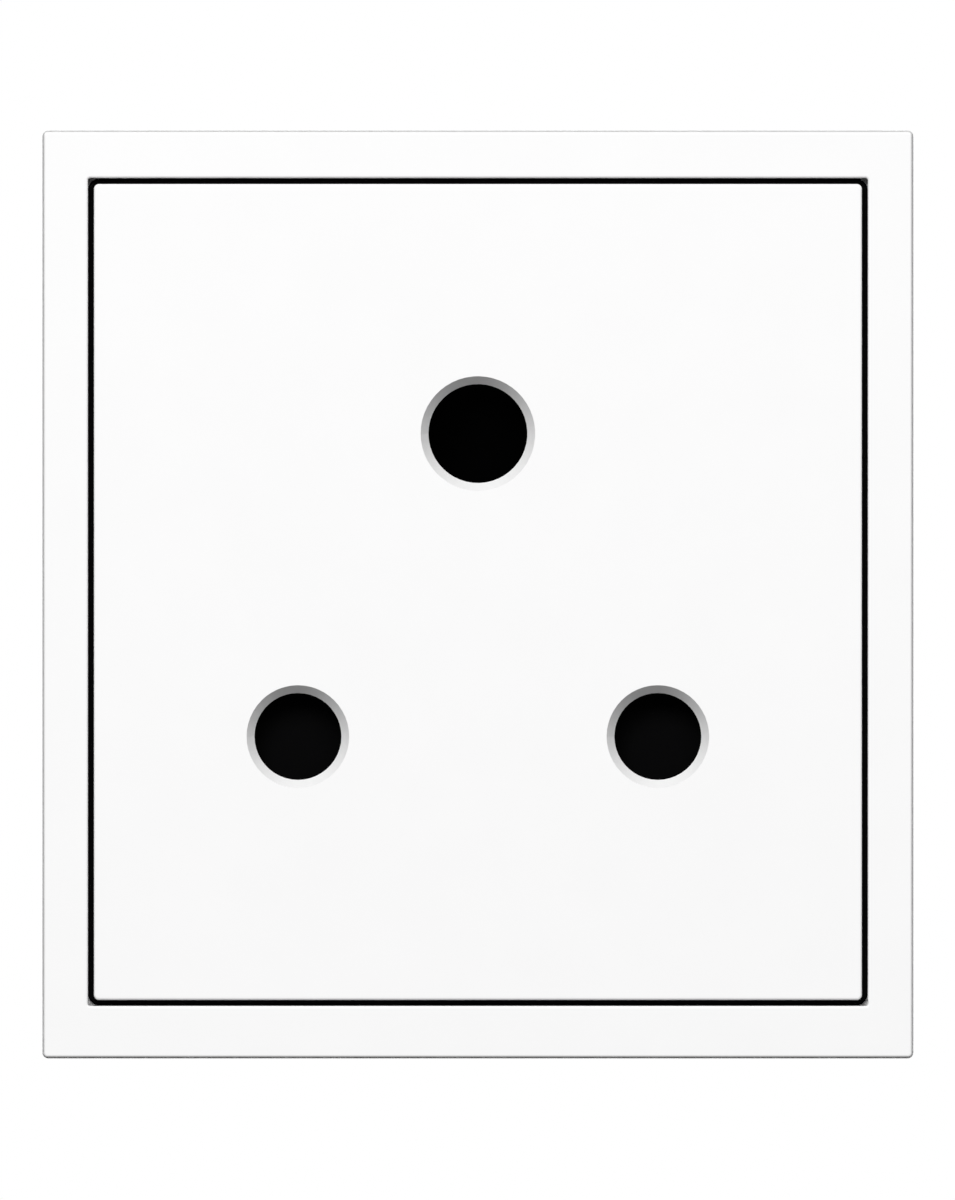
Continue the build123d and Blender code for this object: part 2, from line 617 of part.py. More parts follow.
line_contact = live_contact(LINE)
save(line_contact, "line_contact")
neutral_contact = live_contact(NEUTRAL)
save(neutral_contact, "neutral_contact")

# Earth contact: split tube further back, with its terminal beside it and a flat side for the strap
earth_bore_r = (EARTH.pin_d + PIN_PLAY) / 2
with BuildPart(FRONT_VIEW) as earth_contact:
    with BuildSketch(at(EARTH_BLOCK_FRONT)):
        with Locations((EARTH.x, EARTH.z)):
            Circle(earth_tube_r)
    extrude(amount=EARTH_TUBE_FRONT - EARTH_BLOCK_FRONT)
    with BuildSketch(at(BLOCK_BACK)):
        with Locations((earth_mid_x, (EARTH_BLOCK_LOW + EARTH_BLOCK_HIGH) / 2)):
            Rectangle(earth_w, EARTH_BLOCK_HIGH - EARTH_BLOCK_LOW)
    extrude(amount=EARTH_BLOCK_FRONT - BLOCK_BACK)
    with BuildSketch(at(BLOCK_BACK)):
        with Locations((earth_mid_x, (EARTH_PILLAR_LOW + EARTH_BLOCK_HIGH) / 2)):
            Rectangle(earth_w, EARTH_BLOCK_HIGH - EARTH_PILLAR_LOW)
    extrude(amount=EARTH_PILLAR_FRONT - BLOCK_BACK)
    with BuildSketch(at(EARTH_BORE_END)):
        with Locations((EARTH.x, EARTH.z)):
            Circle(earth_bore_r)
    extrude(amount=EARTH_TUBE_FRONT - EARTH_BORE_END, mode=Mode.SUBTRACT)
    mouth = earth_contact.edges().filter_by(GeomType.CIRCLE).group_by(Axis.Y)[0].sort_by(SortBy.RADIUS)[0]
    chamfer(mouth, BORE_CHAMFER)
    with BuildSketch(at(EARTH_BLOCK_FRONT)):
        with Locations((EARTH.x, EARTH.z)):
            Rectangle(3 * earth_bore_r, SLIT_W)
    extrude(amount=EARTH_TUBE_FRONT - EARTH_BLOCK_FRONT, mode=Mode.SUBTRACT)
    with BuildSketch(Plane.XY.offset(EARTH_PILLAR_LOW + WIRE_FLOOR)):
        with Locations((EARTH.x, -WIRE_HEIGHT)):
            Circle(WIRE_HOLE_D / 2)
    extrude(amount=EARTH_BLOCK_HIGH - EARTH_PILLAR_LOW, mode=Mode.SUBTRACT)
    with BuildSketch(at(BLOCK_BACK)):
        with Locations((EARTH.x, EARTH_SCREW_Z)):
            Circle(TERMINAL_SCREW_D / 2 + SEAT_PLAY)
    extrude(amount=WIRE_HEIGHT - BLOCK_BACK, mode=Mode.SUBTRACT)
    with BuildSketch(Plane.YZ.offset(EARTH_BLOCK_RIGHT)):
        with Locations((-STRAP_RIVET_HEIGHT, STRAP_Z)):
            Circle(RIVET_D / 2 + SEAT_PLAY)
    extrude(amount=-RIVET_GRIP - SEAT_PLAY, mode=Mode.SUBTRACT)
save(earth_contact.part, "earth_contact")


def spring_ring(pole, tube_front, tube_r):
    """Split steel ring that presses the contact's fingers together."""
    with BuildPart(FRONT_VIEW) as ring:
        with BuildSketch(at(tube_front - RING_SETBACK - RING_W)):
            with Locations((pole.x, pole.z)):
                Circle(tube_r + RING_T)
                Circle(tube_r + RING_PLAY, mode=Mode.SUBTRACT)
                Rectangle(RING_SPLIT, 2 * tube_r, align=(Align.CENTER, Align.MAX), mode=Mode.SUBTRACT)
        extrude(amount=RING_W)
    return ring.part


live_tube_r = (LINE.pin_d + PIN_PLAY) / 2 + LIVE_TUBE_T
line_spring_ring = spring_ring(LINE, LIVE_TUBE_FRONT, live_tube_r)
save(line_spring_ring, "line_spring_ring")
neutral_spring_ring = spring_ring(NEUTRAL, LIVE_TUBE_FRONT, live_tube_r)
save(neutral_spring_ring, "neutral_spring_ring")
earth_spring_ring = spring_ring(EARTH, EARTH_TUBE_FRONT, earth_tube_r)
save(earth_spring_ring, "earth_spring_ring")


def terminal_screw(x, z):
    """Slotted clamp screw, backed out so that its tip leaves the wire hole free."""
    tip = WIRE_HEIGHT - WIRE_HOLE_D / 2 - FIT
    seat = BLOCK_BACK - TERMINAL_BACKED_OUT
    with BuildPart(FRONT_VIEW) as screw:
        with BuildSketch(at(seat)):
            with Locations((x, z)):
                Circle(TERMINAL_SCREW_D / 2)
        extrude(amount=tip - seat)
        with BuildSketch(at(seat)):
            with Locations((x, z)):
                Circle(TERMINAL_HEAD_D / 2)
        extrude(amount=-TERMINAL_HEAD_T)
        with BuildSketch(at(seat - TERMINAL_HEAD_T)):
            with Locations((x, z)):
                Rectangle(2 * TERMINAL_HEAD_D, TERMINAL_SLOT)
        extrude(amount=TERMINAL_SLOT, mode=Mode.SUBTRACT)
    return screw.part


line_terminal_screw = terminal_screw(LINE.x, LINE.z)
save(line_terminal_screw, "line_terminal_screw")
neutral_terminal_screw = terminal_screw(NEUTRAL.x, NEUTRAL.z)
save(neutral_terminal_screw, "neutral_terminal_screw")
earth_terminal_screw = terminal_screw(EARTH.x, EARTH_SCREW_Z)
save(earth_terminal_screw, "earth_terminal_screw")

# Earth strap: leg on the earth contact's side, foot over the deck on to the support plate's front
with BuildPart(FRONT_VIEW) as earth_strap:
    with BuildSketch(at(STRAP_END)):
        with Locations((EARTH_BLOCK_RIGHT + STRAP_T / 2, STRAP_Z)):
            Rectangle(STRAP_T, STRAP_W)
    extrude(amount=STRAP_FRONT - STRAP_END)
    with BuildSketch(at(SHEET_T)):
        with Locations((EARTH_BLOCK_RIGHT + STRAP_FOOT_W / 2, (STRAP_Z - STRAP_W / 2 + STRAP_TOP) / 2)):
            Rectangle(STRAP_FOOT_W, STRAP_TOP - STRAP_Z + STRAP_W / 2)
        with Locations((EARTH_BLOCK_RIGHT + STRAP_FOOT_W / 2, SHEET_RIVET_Z)):
            Circle(RIVET_D / 2 + SEAT_PLAY, mode=Mode.SUBTRACT)
    extrude(amount=STRAP_T)
    with BuildSketch(Plane.YZ.offset(EARTH_BLOCK_RIGHT)):
        with Locations((-STRAP_RIVET_HEIGHT, STRAP_Z)):
            Circle(RIVET_D / 2 + SEAT_PLAY)
    extrude(amount=STRAP_T, mode=Mode.SUBTRACT)
save(earth_strap.part, "earth_strap")

# Strap rivets: one into the earth contact, one through the support plate
with BuildPart() as strap_rivets:
    with BuildSketch(Plane.YZ.offset(EARTH_BLOCK_RIGHT - RIVET_GRIP)):
        with Locations((-STRAP_RIVET_HEIGHT, STRAP_Z)):
            Circle(RIVET_D / 2)
    extrude(amount=RIVET_GRIP + STRAP_T)
    with BuildSketch(Plane.YZ.offset(EARTH_BLOCK_RIGHT + STRAP_T)):
        with Locations((-STRAP_RIVET_HEIGHT, STRAP_Z)):
            Circle(RIVET_HEAD_D / 2)
    extrude(amount=RIVET_HEAD_T)
    with BuildSketch(at(0)):
        with Locations((EARTH_BLOCK_RIGHT + STRAP_FOOT_W / 2, SHEET_RIVET_Z)):
            Circle(RIVET_D / 2)
    extrude(amount=STRAP_FRONT)
    with BuildSketch(at(STRAP_FRONT)):
        with Locations((EARTH_BLOCK_RIGHT + STRAP_FOOT_W / 2, SHEET_RIVET_Z)):
            Circle(RIVET_HEAD_D / 2)
    extrude(amount=RIVET_HEAD_T)
    with BuildSketch(at(0)):
        with Locations((EARTH_BLOCK_RIGHT + STRAP_FOOT_W / 2, SHEET_RIVET_Z)):
            Circle(RIVET_HEAD_D / 2)
    extrude(amount=-RIVET_HEAD_T)
save(strap_rivets.part, "strap_rivets")

# Body screws: four long countersunk screws from the rear cover into the pin guide
with BuildPart(FRONT_VIEW) as body_screws:
    for screw_x, screw_z in BODY_SCREWS:
        with BuildSketch(at(COVER_BACK)):
            with Locations((screw_x, screw_z)):
                Circle(BODY_SCREW_D / 2)
        extrude(amount=BODY_SCREW_TIP - BODY_SCREW_POINT - COVER_BACK)
        with Locations((screw_x, screw_z, BODY_SCREW_TIP - BODY_SCREW_POINT)):
            Cone(
                BODY_SCREW_D / 2,
                BODY_SCREW_POINT / 2,
                BODY_SCREW_POINT,
                align=(Align.CENTER, Align.CENTER, Align.MIN),
            )
        with Locations((screw_x, screw_z, COVER_BACK)):
            Cone(
                BODY_SCREW_HEAD_D / 2,
                BODY_SCREW_D / 2,
                (BODY_SCREW_HEAD_D - BODY_SCREW_D) / 2,
                align=(Align.CENTER, Align.CENTER, Align.MIN),
            )
save(body_screws.part, "body_screws")
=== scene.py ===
"""Finishes, fasteners, spring, terminal marks and studio of a round-pin wall socket."""

import math
from collections import namedtuple

import bmesh
import bpy
from bpy.props import FloatProperty, FloatVectorProperty, IntProperty, PointerProperty
from mathutils import Euler, Matrix, Vector


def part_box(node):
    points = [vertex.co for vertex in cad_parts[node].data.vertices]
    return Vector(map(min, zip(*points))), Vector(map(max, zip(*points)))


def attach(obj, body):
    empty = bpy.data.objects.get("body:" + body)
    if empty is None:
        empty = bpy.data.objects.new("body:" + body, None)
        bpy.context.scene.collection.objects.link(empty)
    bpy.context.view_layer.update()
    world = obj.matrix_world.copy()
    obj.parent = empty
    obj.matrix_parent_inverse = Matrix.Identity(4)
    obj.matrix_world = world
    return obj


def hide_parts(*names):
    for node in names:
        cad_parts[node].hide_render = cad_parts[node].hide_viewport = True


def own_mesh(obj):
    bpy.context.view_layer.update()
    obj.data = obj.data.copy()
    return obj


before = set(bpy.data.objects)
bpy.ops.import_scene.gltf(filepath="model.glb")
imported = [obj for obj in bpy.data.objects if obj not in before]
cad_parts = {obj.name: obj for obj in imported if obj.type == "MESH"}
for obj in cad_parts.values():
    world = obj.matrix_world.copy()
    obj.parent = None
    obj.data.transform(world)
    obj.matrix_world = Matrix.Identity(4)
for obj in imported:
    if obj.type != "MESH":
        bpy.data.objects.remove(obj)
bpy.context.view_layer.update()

bl_info = {
    "name": "Round-pin wall socket",
    "version": (1, 0, 0),
    "blender": (4, 5, 0),
    "location": "View3D > Sidebar > Socket",
    "description": "Finishes, fasteners, spring, terminal marks and studio of a wall socket",
    "category": "Object",
}

MM = 0.001
FIXED_BODY = "socket"

# Distances within which points are merged, and the angle below which faces are shaded as one
SAME_PLACE = 0.001 * MM
SLIVER = 0.0005 * MM
SMOOTH_BELOW = math.radians(32)

# Axes of a box
ACROSS = 0
INTO_WALL = 1

# Pieces that share a finish
FRONT_PLATES = ("cover_frame", "centre_plate")
# The clip frame is satin black behind; where it shows in the gap round the centre plate it is
# painted darker, as shade
BLACK_MOULDINGS_WITH_GAP_SHADE = ("clip_frame",)
DULL_BLACK_MOULDINGS = ("pin_guide", "shutter")
HOUSING_MOULDINGS = ("contact_housing", "rear_cover")
BRASS_PIECES = ("line_contact", "neutral_contact", "earth_contact", "earth_strap")
SPRING_RINGS = ("line_spring_ring", "neutral_spring_ring", "earth_spring_ring")
TERMINAL_SCREWS = ("line_terminal_screw", "neutral_terminal_screw", "earth_terminal_screw")

# Sizes of the finishes' grain, lines and patches, and the depth of their relief
WHITE_DRIFT = 7 * MM
WHITE_GRAIN = 0.22 * MM
WHITE_RELIEF = 0.004 * MM
ERODED_CLOUD = 4 * MM
ERODED_GRAIN = 0.16 * MM
ERODED_RELIEF = 0.012 * MM
# Depth over which the clip frame's painted gap shade gives way to its satin black behind
GAP_SHADE_FADE = 1 * MM
PRESSED_CLOUD = 6 * MM
PRESSED_GRAIN = 0.42 * MM
PRESSED_RELIEF = 0.05 * MM
FILLER_SPACING = 0.8 * MM
ZINC_PATCH = 5 * MM
ZINC_CRYSTAL = 0.3 * MM
ZINC_ROLLING = 0.12 * MM
ZINC_RELIEF = 0.003 * MM
BRASS_PATCH = 2.5 * MM
BRASS_LINE = 0.08 * MM
BRASS_RELIEF = 0.004 * MM
SPRING_PATCH = 1.2 * MM
SPRING_LINE = 0.06 * MM
SPRING_RELIEF = 0.002 * MM

# Specks of filler: size as a share of their spacing, and strength; depth of the joint in reliefs
FILLER_SPECK = 0.16
FILLER_STRENGTH = 0.5
JOINT_GROOVE = 2

# Tones of a finish as multiples of its colour
WHITE_TONES = (0.985, 1.008)
DULL_TONES = (0.7, 1.5)
PRESSED_TONES = (0.1, 1.9)
FILLER_TONE = 5
SPRING_TONES = (1.15, 0.7)

# Scale of the finishes' lines along each axis: the smaller, the longer they run
ROLLED_ALONG_X = (0.04, 1, 1)
TURNED_ROUND_Y = (0.06, 1, 0.06)
DRAWN_ALONG_Z = (1, 1, 0.1)

# Places of the colour sockets on a Mix node
MIX_FACTOR = 0
MIX_A = 6
MIX_B = 7
MIX_RESULT = 2

# Turns of a piece whose own axis points up
HEAD_TO_THE_BACK = (-math.pi / 2, 0, 0)
HEAD_TO_THE_RIGHT = (0, math.pi / 2, 0)
QUARTER_TURN = (0, 0, math.pi / 2)
UPSIDE_DOWN = (math.pi, 0, 0)
READ_FROM_THE_BACK = Euler((math.pi / 2, 0, math.pi)).to_matrix().to_4x4()


class Signal:
    """One output socket of a node tree; arithmetic on signals adds the Math nodes for it."""

    def __init__(self, tree, socket=None):
        self.tree = tree
        self.socket = socket

    def node(self, kind, settings=None, inputs=None, output=0):
        """Add a node, with its settings first and then the values or links of its inputs."""
        made = self.tree.nodes.new(kind)
        for name, value in (settings or {}).items():
            setattr(made, name, value)
        for name, value in (inputs or {}).items():
            for source in value if isinstance(value, list) else [value]:
                if isinstance(source, Signal):
                    self.tree.links.new(source.socket, made.inputs[name])
                else:
                    made.inputs[name].default_value = source
        return Signal(self.tree, made.outputs[output])

    def math(self, operation, *values):
        """Math node on these values or signals."""
        return self.node("ShaderNodeMath", {"operation": operation}, dict(enumerate(values)))

    def __add__(self, other):
        return self.math("ADD", self, other)

    def __radd__(self, other):
        return self.math("ADD", other, self)

    def __sub__(self, other):
        return self.math("SUBTRACT", self, other)

    def __rsub__(self, other):
        return self.math("SUBTRACT", other, self)

    def __mul__(self, other):
        return self.math("MULTIPLY", self, other)

    def __truediv__(self, other):
        return self.math("DIVIDE", self, other)

    def feed(self, node, name):
        """Link this signal to a named input of a node that is already there."""
        self.tree.links.new(self.socket, node.inputs[name])


def length(name, description, default):
    """Length property in metres."""
    return FloatProperty(name=name, description=description, default=default, min=0, unit="LENGTH")


def share(name, description, default):
    """Property between none and all."""
    return FloatProperty(
        name=name, description=description, default=default, min=0, max=1, subtype="FACTOR"
    )


def colour(name, description, default):
    """Linear colour property."""
    return FloatVectorProperty(
        name=name, description=description, default=default, size=3, min=0, max=1, subtype="COLOR"
    )


class SocketFinishes(bpy.types.PropertyGroup):
    """Colours and surface qualities of the materials."""

    white: colour("White", "Colour of the frame and the centre plate", (0.92, 0.919, 0.9195))
    white_roughness: share("White roughness", "Lowest roughness of the front mouldings", 0.47)
    # Also the painted shade of the clip frame's front, where it shows in the gap
    black: colour("Black", "Colour of the black mouldings in front", (0.0012, 0.0012, 0.0013))
    black_behind: colour("Black behind", "Colour of the clip frame behind", (0.013, 0.013, 0.014))
    # Above this height the clip frame is dull and painted darker, as shade in the gap
    gap_shade_from: length("Dull front", "Height above which the clip frame is dull", 4.0 * MM)
    black_roughness: share("Black roughness", "Lowest roughness of the black mouldings", 0.62)
    black_coat: share("Black coat", "Gloss of the clip frame behind", 0.5)
    housing: colour("Housing", "Colour of the housing and its cover", (0.02, 0.02, 0.0215))
    rubbed: colour("Rubbed", "Colour of the raised marks on the cover", (0.075, 0.075, 0.078))
    housing_roughness: share("Housing roughness", "Lowest roughness of the housing", 0.38)
    # Width over which the joint to the rear cover is darkened, as dust and painted shade
    housing_joint: length("Housing joint", "Width of the joint to the rear cover", 0.4 * MM)
    zinc: colour("Zinc", "Colour of plated steel", (0.56, 0.57, 0.59))
    zinc_stain: colour("Zinc stain", "Colour of thicker plating", (0.43, 0.44, 0.455))
    zinc_roughness: share("Zinc roughness", "Lowest roughness of plated steel", 0.2)
    brass: colour("Brass", "Colour of turned brass", (0.80, 0.60, 0.27))
    brass_stain: colour("Brass stain", "Colour of brass where it has dulled", (0.55, 0.38, 0.15))
    brass_roughness: share("Brass roughness", "Lowest roughness of brass", 0.16)
    spring: colour("Spring steel", "Colour of springs", (0.48, 0.48, 0.50))
    spring_roughness: share("Spring roughness", "Lowest roughness of springs", 0.22)


class SocketFasteners(bpy.types.PropertyGroup):
    """Sizes of the screws and rivets."""

    body_shank: length("Body screw shank", "Outer diameter of the body screws' thread", 2.9 * MM)
    body_pitch: length("Body screw pitch", "Rise of the body screws' thread in a turn", 1.1 * MM)
    body_thread: length("Body screw thread", "Depth of the body screws' thread", 0.36 * MM)
    body_point: length("Body screw point", "Length of the body screws' point", 1.0 * MM)
    cone_rim: length("Cone rim", "Bevel round a body screw's head", 0.08 * MM)
    cross_length: length("Cross length", "Span of the cross recess", 3.3 * MM)
    cross_width: length("Cross width", "Width of the cross recess's wings", 0.75 * MM)
    cross_depth: length("Cross depth", "Depth of the cross recess", 1.5 * MM)
    cross_taper: share("Cross taper", "How far the cross recess closes in towards its bottom", 0.6)
    clamp_shank: length("Clamp screw shank", "Outer diameter of the clamp screws' thread", 4.0 * MM)
    clamp_pitch: length("Clamp screw pitch", "Rise of the clamp screws' thread in a turn", 0.7 * MM)
    clamp_thread: length("Clamp screw thread", "Depth of the clamp screws' thread", 0.3 * MM)
    clamp_point: length("Clamp screw point", "Length of the clamp screws' tapered end", 0.4 * MM)
    clamp_head: length("Clamp screw head", "Height of the clamp screws' head", 1.9 * MM)
    head_rim: length("Head rim", "Bevel round a clamp screw's head", 0.3 * MM)
    slot_width: length("Slot width", "Width of the clamp screws' slot", 1.0 * MM)
    slot_depth: length("Slot depth", "Depth of the clamp screws' slot", 1.0 * MM)
    rivet_shank: length("Rivet shank", "Diameter of the rivets", 2.4 * MM)
    rivet_head: length("Rivet head", "Diameter of the rivets' heads", 3.6 * MM)
    rivet_dome: length("Rivet dome", "Height of the rivets' heads", 0.9 * MM)


class SocketSpring(bpy.types.PropertyGroup):
    """Sizes of the shutter's spring."""

    wire: length("Wire", "Diameter of the spring's wire", 0.34 * MM)
    turns: FloatProperty(name="Turns", description="Turns from end to end", default=5.5, min=3)
    anchor: length("Anchor", "Height of the spring's fixed upper end", 6.3 * MM)
    kept: share("Kept length", "Share of the spring's length when the shutter is fully open", 0.40)


class SocketMarks(bpy.types.PropertyGroup):
    """Sizes of the raised terminal marks on the rear cover."""

    height: length("Mark height", "Height of a letter", 3.4 * MM)
    relief: length("Relief", "How far a mark stands out", 0.4 * MM)
    stroke: length("Stroke", "Width of the earth sign's strokes", 0.5 * MM)
    offset: length("Offset", "Distance of a mark's middle from its terminal", 8.2 * MM)


class SocketStage(bpy.types.PropertyGroup):
    """Camera, light and floor."""

    camera_distance: length("Camera distance", "From the lens to the front plate", 4.0)
    picture_height: length("Picture height", "Height seen at the front plate", 120.0 * MM)
    camera_across: FloatProperty(
        name="Camera across",
        description="Camera axis right of the middle",
        default=-0.04 * MM,
        unit="LENGTH",
    )
    camera_up: FloatProperty(
        name="Camera up",
        description="Camera axis above the middle",
        default=-0.55 * MM,
        unit="LENGTH",
    )
    ambient: share("Ambient", "Even light from all round", 0.07)
    floor_drop: length("Floor drop", "Floor below the middle of the plate", 110.0 * MM)
    floor_radius: length("Floor radius", "Radius of the floor's disc", 0.9)
    fade_start: share("Fade start", "Share of the radius where the floor starts to fade", 0.3)
    fade_end: share("Fade end", "Share of the radius where the floor has faded out", 0.97)
    floor_colour: colour("Floor colour", "Colour of the floor", (0.86, 0.86, 0.86))
    floor_segments: IntProperty(
        name="Floor segments", description="Sides of the floor's disc", default=96, min=12
    )


def material_with(name, constants):
    """New material with constant values; gives the material, a first signal and its shader."""
    material = bpy.data.materials.new(name)
    material.use_nodes = True
    tree = material.node_tree
    shader = tree.nodes["Principled BSDF"]
    for socket, value in constants.items():
        shader.inputs[socket].default_value = value
    return material, Signal(tree), shader


def object_place(start, stretch=(1, 1, 1)):
    """Place on the object, stretched along its axes."""
    place = start.node("ShaderNodeTexCoord", output="Object")
    return place.node("ShaderNodeMapping", {}, {"Vector": place, "Scale": stretch})


def depth_of(place):
    """Depth of a place on the object, into the wall."""
    return place.node("ShaderNodeSeparateXYZ", {}, {"Vector": place}, "Y")


def noise(place, grain, detail):
    """Noise from none to all whose lumps are about one grain across, in metres."""
    settings = {"noise_dimensions": "3D", "normalize": True}
    inputs = {"Vector": place, "Scale": 1 / grain, "Detail": detail, "Roughness": 0.5}
    return place.node("ShaderNodeTexNoise", settings, inputs, "Fac")


def mixed(mask, low, high):
    """Colour between two colours by a mask."""
    inputs = {MIX_FACTOR: mask, MIX_A: (*low, 1), MIX_B: (*high, 1)}
    return mask.node("ShaderNodeMix", {"data_type": "RGBA"}, inputs, MIX_RESULT)


def bumped(height, depth, strength):
    """Normal of a surface whose relief is this deep, in metres."""
    inputs = {"Height": height, "Distance": depth, "Strength": strength}
    return height.node("ShaderNodeBump", {}, inputs)


def scaled(rgb, factor):
    """Colour made darker or lighter, kept within range."""
    return tuple(min(1.0, part * factor) for part in rgb)


def toned(mask, rgb, tones):
    """Colour between two tones of one colour by a mask."""
    return mixed(mask, *(scaled(rgb, tone) for tone in tones))


def white_plastic():
    """Satin white moulding with a faint drift of tone and a very fine grain."""
    looks = bpy.context.scene.socket_finishes
    constants = {"IOR": 1.49, "Specular IOR Level": 0.08}
    material, start, shader = material_with("white_plastic_finish", constants)
    place = object_place(start)
    drift = noise(place, WHITE_DRIFT, 3)
    grain = noise(place, WHITE_GRAIN, 2)
    toned(drift, looks.white, WHITE_TONES).feed(shader, "Base Color")
    (looks.white_roughness + drift * 0.06 + grain * 0.05).feed(shader, "Roughness")
    bumped(grain, WHITE_RELIEF, 0.25).feed(shader, "Normal")
    return material


def spark_eroded(start, shader):
    """Roughness and relief of a spark-eroded mould; gives the place on the piece and its grain."""
    looks = bpy.context.scene.socket_finishes
    place = object_place(start)
    grain = noise(place, ERODED_GRAIN, 3)
    cloud = noise(place, ERODED_CLOUD, 2)
    (looks.black_roughness + grain * 0.14 + cloud * 0.08).feed(shader, "Roughness")
    bumped(grain, ERODED_RELIEF, 0.5).feed(shader, "Normal")
    return place, grain


def dull_black():
    """Dull black moulding with a spark-eroded grain."""
    looks = bpy.context.scene.socket_finishes
    constants = {"IOR": 1.45, "Specular IOR Level": 0.02}
    material, start, shader = material_with("dull_black_finish", constants)
    grain = spark_eroded(start, shader)[1]
    toned(grain, looks.black, DULL_TONES).feed(shader, "Base Color")
    return material


def black_plastic():
    """Black moulding with a spark-eroded grain: dull, and painted darker as shade, where it shows
    in the gap in front; satin behind.
    """
    looks = bpy.context.scene.socket_finishes
    constants = {"IOR": 1.45, "Specular IOR Level": 0.02, "Coat Roughness": 0.42, "Coat IOR": 1.5}
    material, start, shader = material_with("black_plastic_finish", constants)
    place, grain = spark_eroded(start, shader)
    depth = depth_of(place)
    front = -looks.gap_shade_from
    limits = {"Value": depth, "From Min": front, "From Max": front + GAP_SHADE_FADE}
    # Mask from the painted gap shade in front, at none, to the satin black behind, at all
    behind = depth.node("ShaderNodeMapRange", {}, limits)
    tone = behind * (0.7 + grain * 0.6)
    mixed(tone, looks.black, looks.black_behind).feed(shader, "Base Color")
    (behind * looks.black_coat).feed(shader, "Coat Weight")
    return material


def pressed_moulding(name, shade):
    """Pressed moulding with specks of filler, a pebbled grain and a joint to the cover that is
    grooved and darkened, as dust and painted shade.
    """
    looks = bpy.context.scene.socket_finishes
    material, start, shader = material_with(name, {"IOR": 1.5, "Specular IOR Level": 0.3})
    place = object_place(start)
    inputs = {"Vector": place, "Scale": 1 / FILLER_SPACING}
    cells = place.node("ShaderNodeTexVoronoi", {"feature": "F1"}, inputs, "Distance")
    specks = cells.math("LESS_THAN", cells, FILLER_SPECK)
    grain = noise(place, PRESSED_GRAIN, 3)
    cloud = noise(place, PRESSED_CLOUD, 3)
    depth = depth_of(place)
    # Near the joint to the rear cover the tone goes dark and the specks fade: dust and painted
    # shade in the joint
    from_joint = depth.math("ABSOLUTE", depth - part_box("rear_cover")[0].y)
    clear = from_joint.math("MINIMUM", from_joint / (looks.housing_joint / 2), 1.0)
    tone = (cloud * 0.5 + grain * 0.5) * clear
    base = toned(tone, shade, PRESSED_TONES)
    filler = (*scaled(shade, FILLER_TONE), 1)
    inputs = {MIX_FACTOR: specks * FILLER_STRENGTH * clear, MIX_A: base, MIX_B: filler}
    specked = base.node("ShaderNodeMix", {"data_type": "RGBA"}, inputs, MIX_RESULT)
    specked.feed(shader, "Base Color")
    (looks.housing_roughness + cloud * 0.12 + grain * 0.1).feed(shader, "Roughness")
    bumped((grain + JOINT_GROOVE) * clear, PRESSED_RELIEF, 0.6).feed(shader, "Normal")
    return material


def housing_plastic():
    """Dark moulding of the housing and its cover."""
    return pressed_moulding("housing_plastic_finish", bpy.context.scene.socket_finishes.housing)


def rubbed_plastic():
    """The same moulding where it stands out and has been rubbed paler."""
    return pressed_moulding("rubbed_plastic_finish", bpy.context.scene.socket_finishes.rubbed)


def zinc_plate():
    """Bright zinc plating on rolled steel: rolling lines, soft stains and a fine crystal grain."""
    looks = bpy.context.scene.socket_finishes
    material, start, shader = material_with("zinc_plated_steel_finish", {"Metallic": 1.0})
    rolling = noise(object_place(start, ROLLED_ALONG_X), ZINC_ROLLING, 3)
    place = object_place(start)
    stain = noise(place, ZINC_PATCH, 4)
    crystal = noise(place, ZINC_CRYSTAL, 2)
    mixed(stain, looks.zinc, looks.zinc_stain).feed(shader, "Base Color")
    (looks.zinc_roughness + stain * 0.16 + rolling * 0.1 + crystal * 0.06).feed(shader, "Roughness")
    bumped(rolling + crystal * 0.5, ZINC_RELIEF, 0.35).feed(shader, "Normal")
    return material


def turned_brass():
    """Brass with turning lines round the depth axis and darker patches where it has dulled."""
    looks = bpy.context.scene.socket_finishes
    material, start, shader = material_with("brass_finish", {"Metallic": 1.0})
    lines = noise(object_place(start, TURNED_ROUND_Y), BRASS_LINE, 2)
    dull = noise(object_place(start), BRASS_PATCH, 4)
    mixed(dull * dull, looks.brass, looks.brass_stain).feed(shader, "Base Color")
    (looks.brass_roughness + dull * 0.18 + lines * 0.12).feed(shader, "Roughness")
    bumped(lines, BRASS_RELIEF, 0.35).feed(shader, "Normal")
    return material


def spring_steel():
    """Oil-tempered spring steel with drawing lines."""
    looks = bpy.context.scene.socket_finishes
    material, start, shader = material_with("spring_steel_finish", {"Metallic": 1.0})
    lines = noise(object_place(start, DRAWN_ALONG_Z), SPRING_LINE, 2)
    oil = noise(object_place(start), SPRING_PATCH, 3)
    toned(oil, looks.spring, SPRING_TONES).feed(shader, "Base Color")
    (looks.spring_roughness + oil * 0.14 + lines * 0.1).feed(shader, "Roughness")
    bumped(lines, SPRING_RELIEF, 0.3).feed(shader, "Normal")
    return material


FINISHES = {
    "white_plastic": white_plastic,
    "black_plastic": black_plastic,
    "dull_black": dull_black,
    "housing_plastic": housing_plastic,
    "rubbed_plastic": rubbed_plastic,
    "zinc_plated_steel": zinc_plate,
    "brass": turned_brass,
    "spring_steel": spring_steel,
}


def finish_of(kind):
    """Material of a kind, made when it is first asked for."""
    return bpy.data.materials.get(f"{kind}_finish") or FINISHES[kind]()


def dress(nodes, kind):
    """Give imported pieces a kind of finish."""
    for name in nodes:
        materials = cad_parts[name].data.materials
        materials.clear()
        materials.append(finish_of(kind))


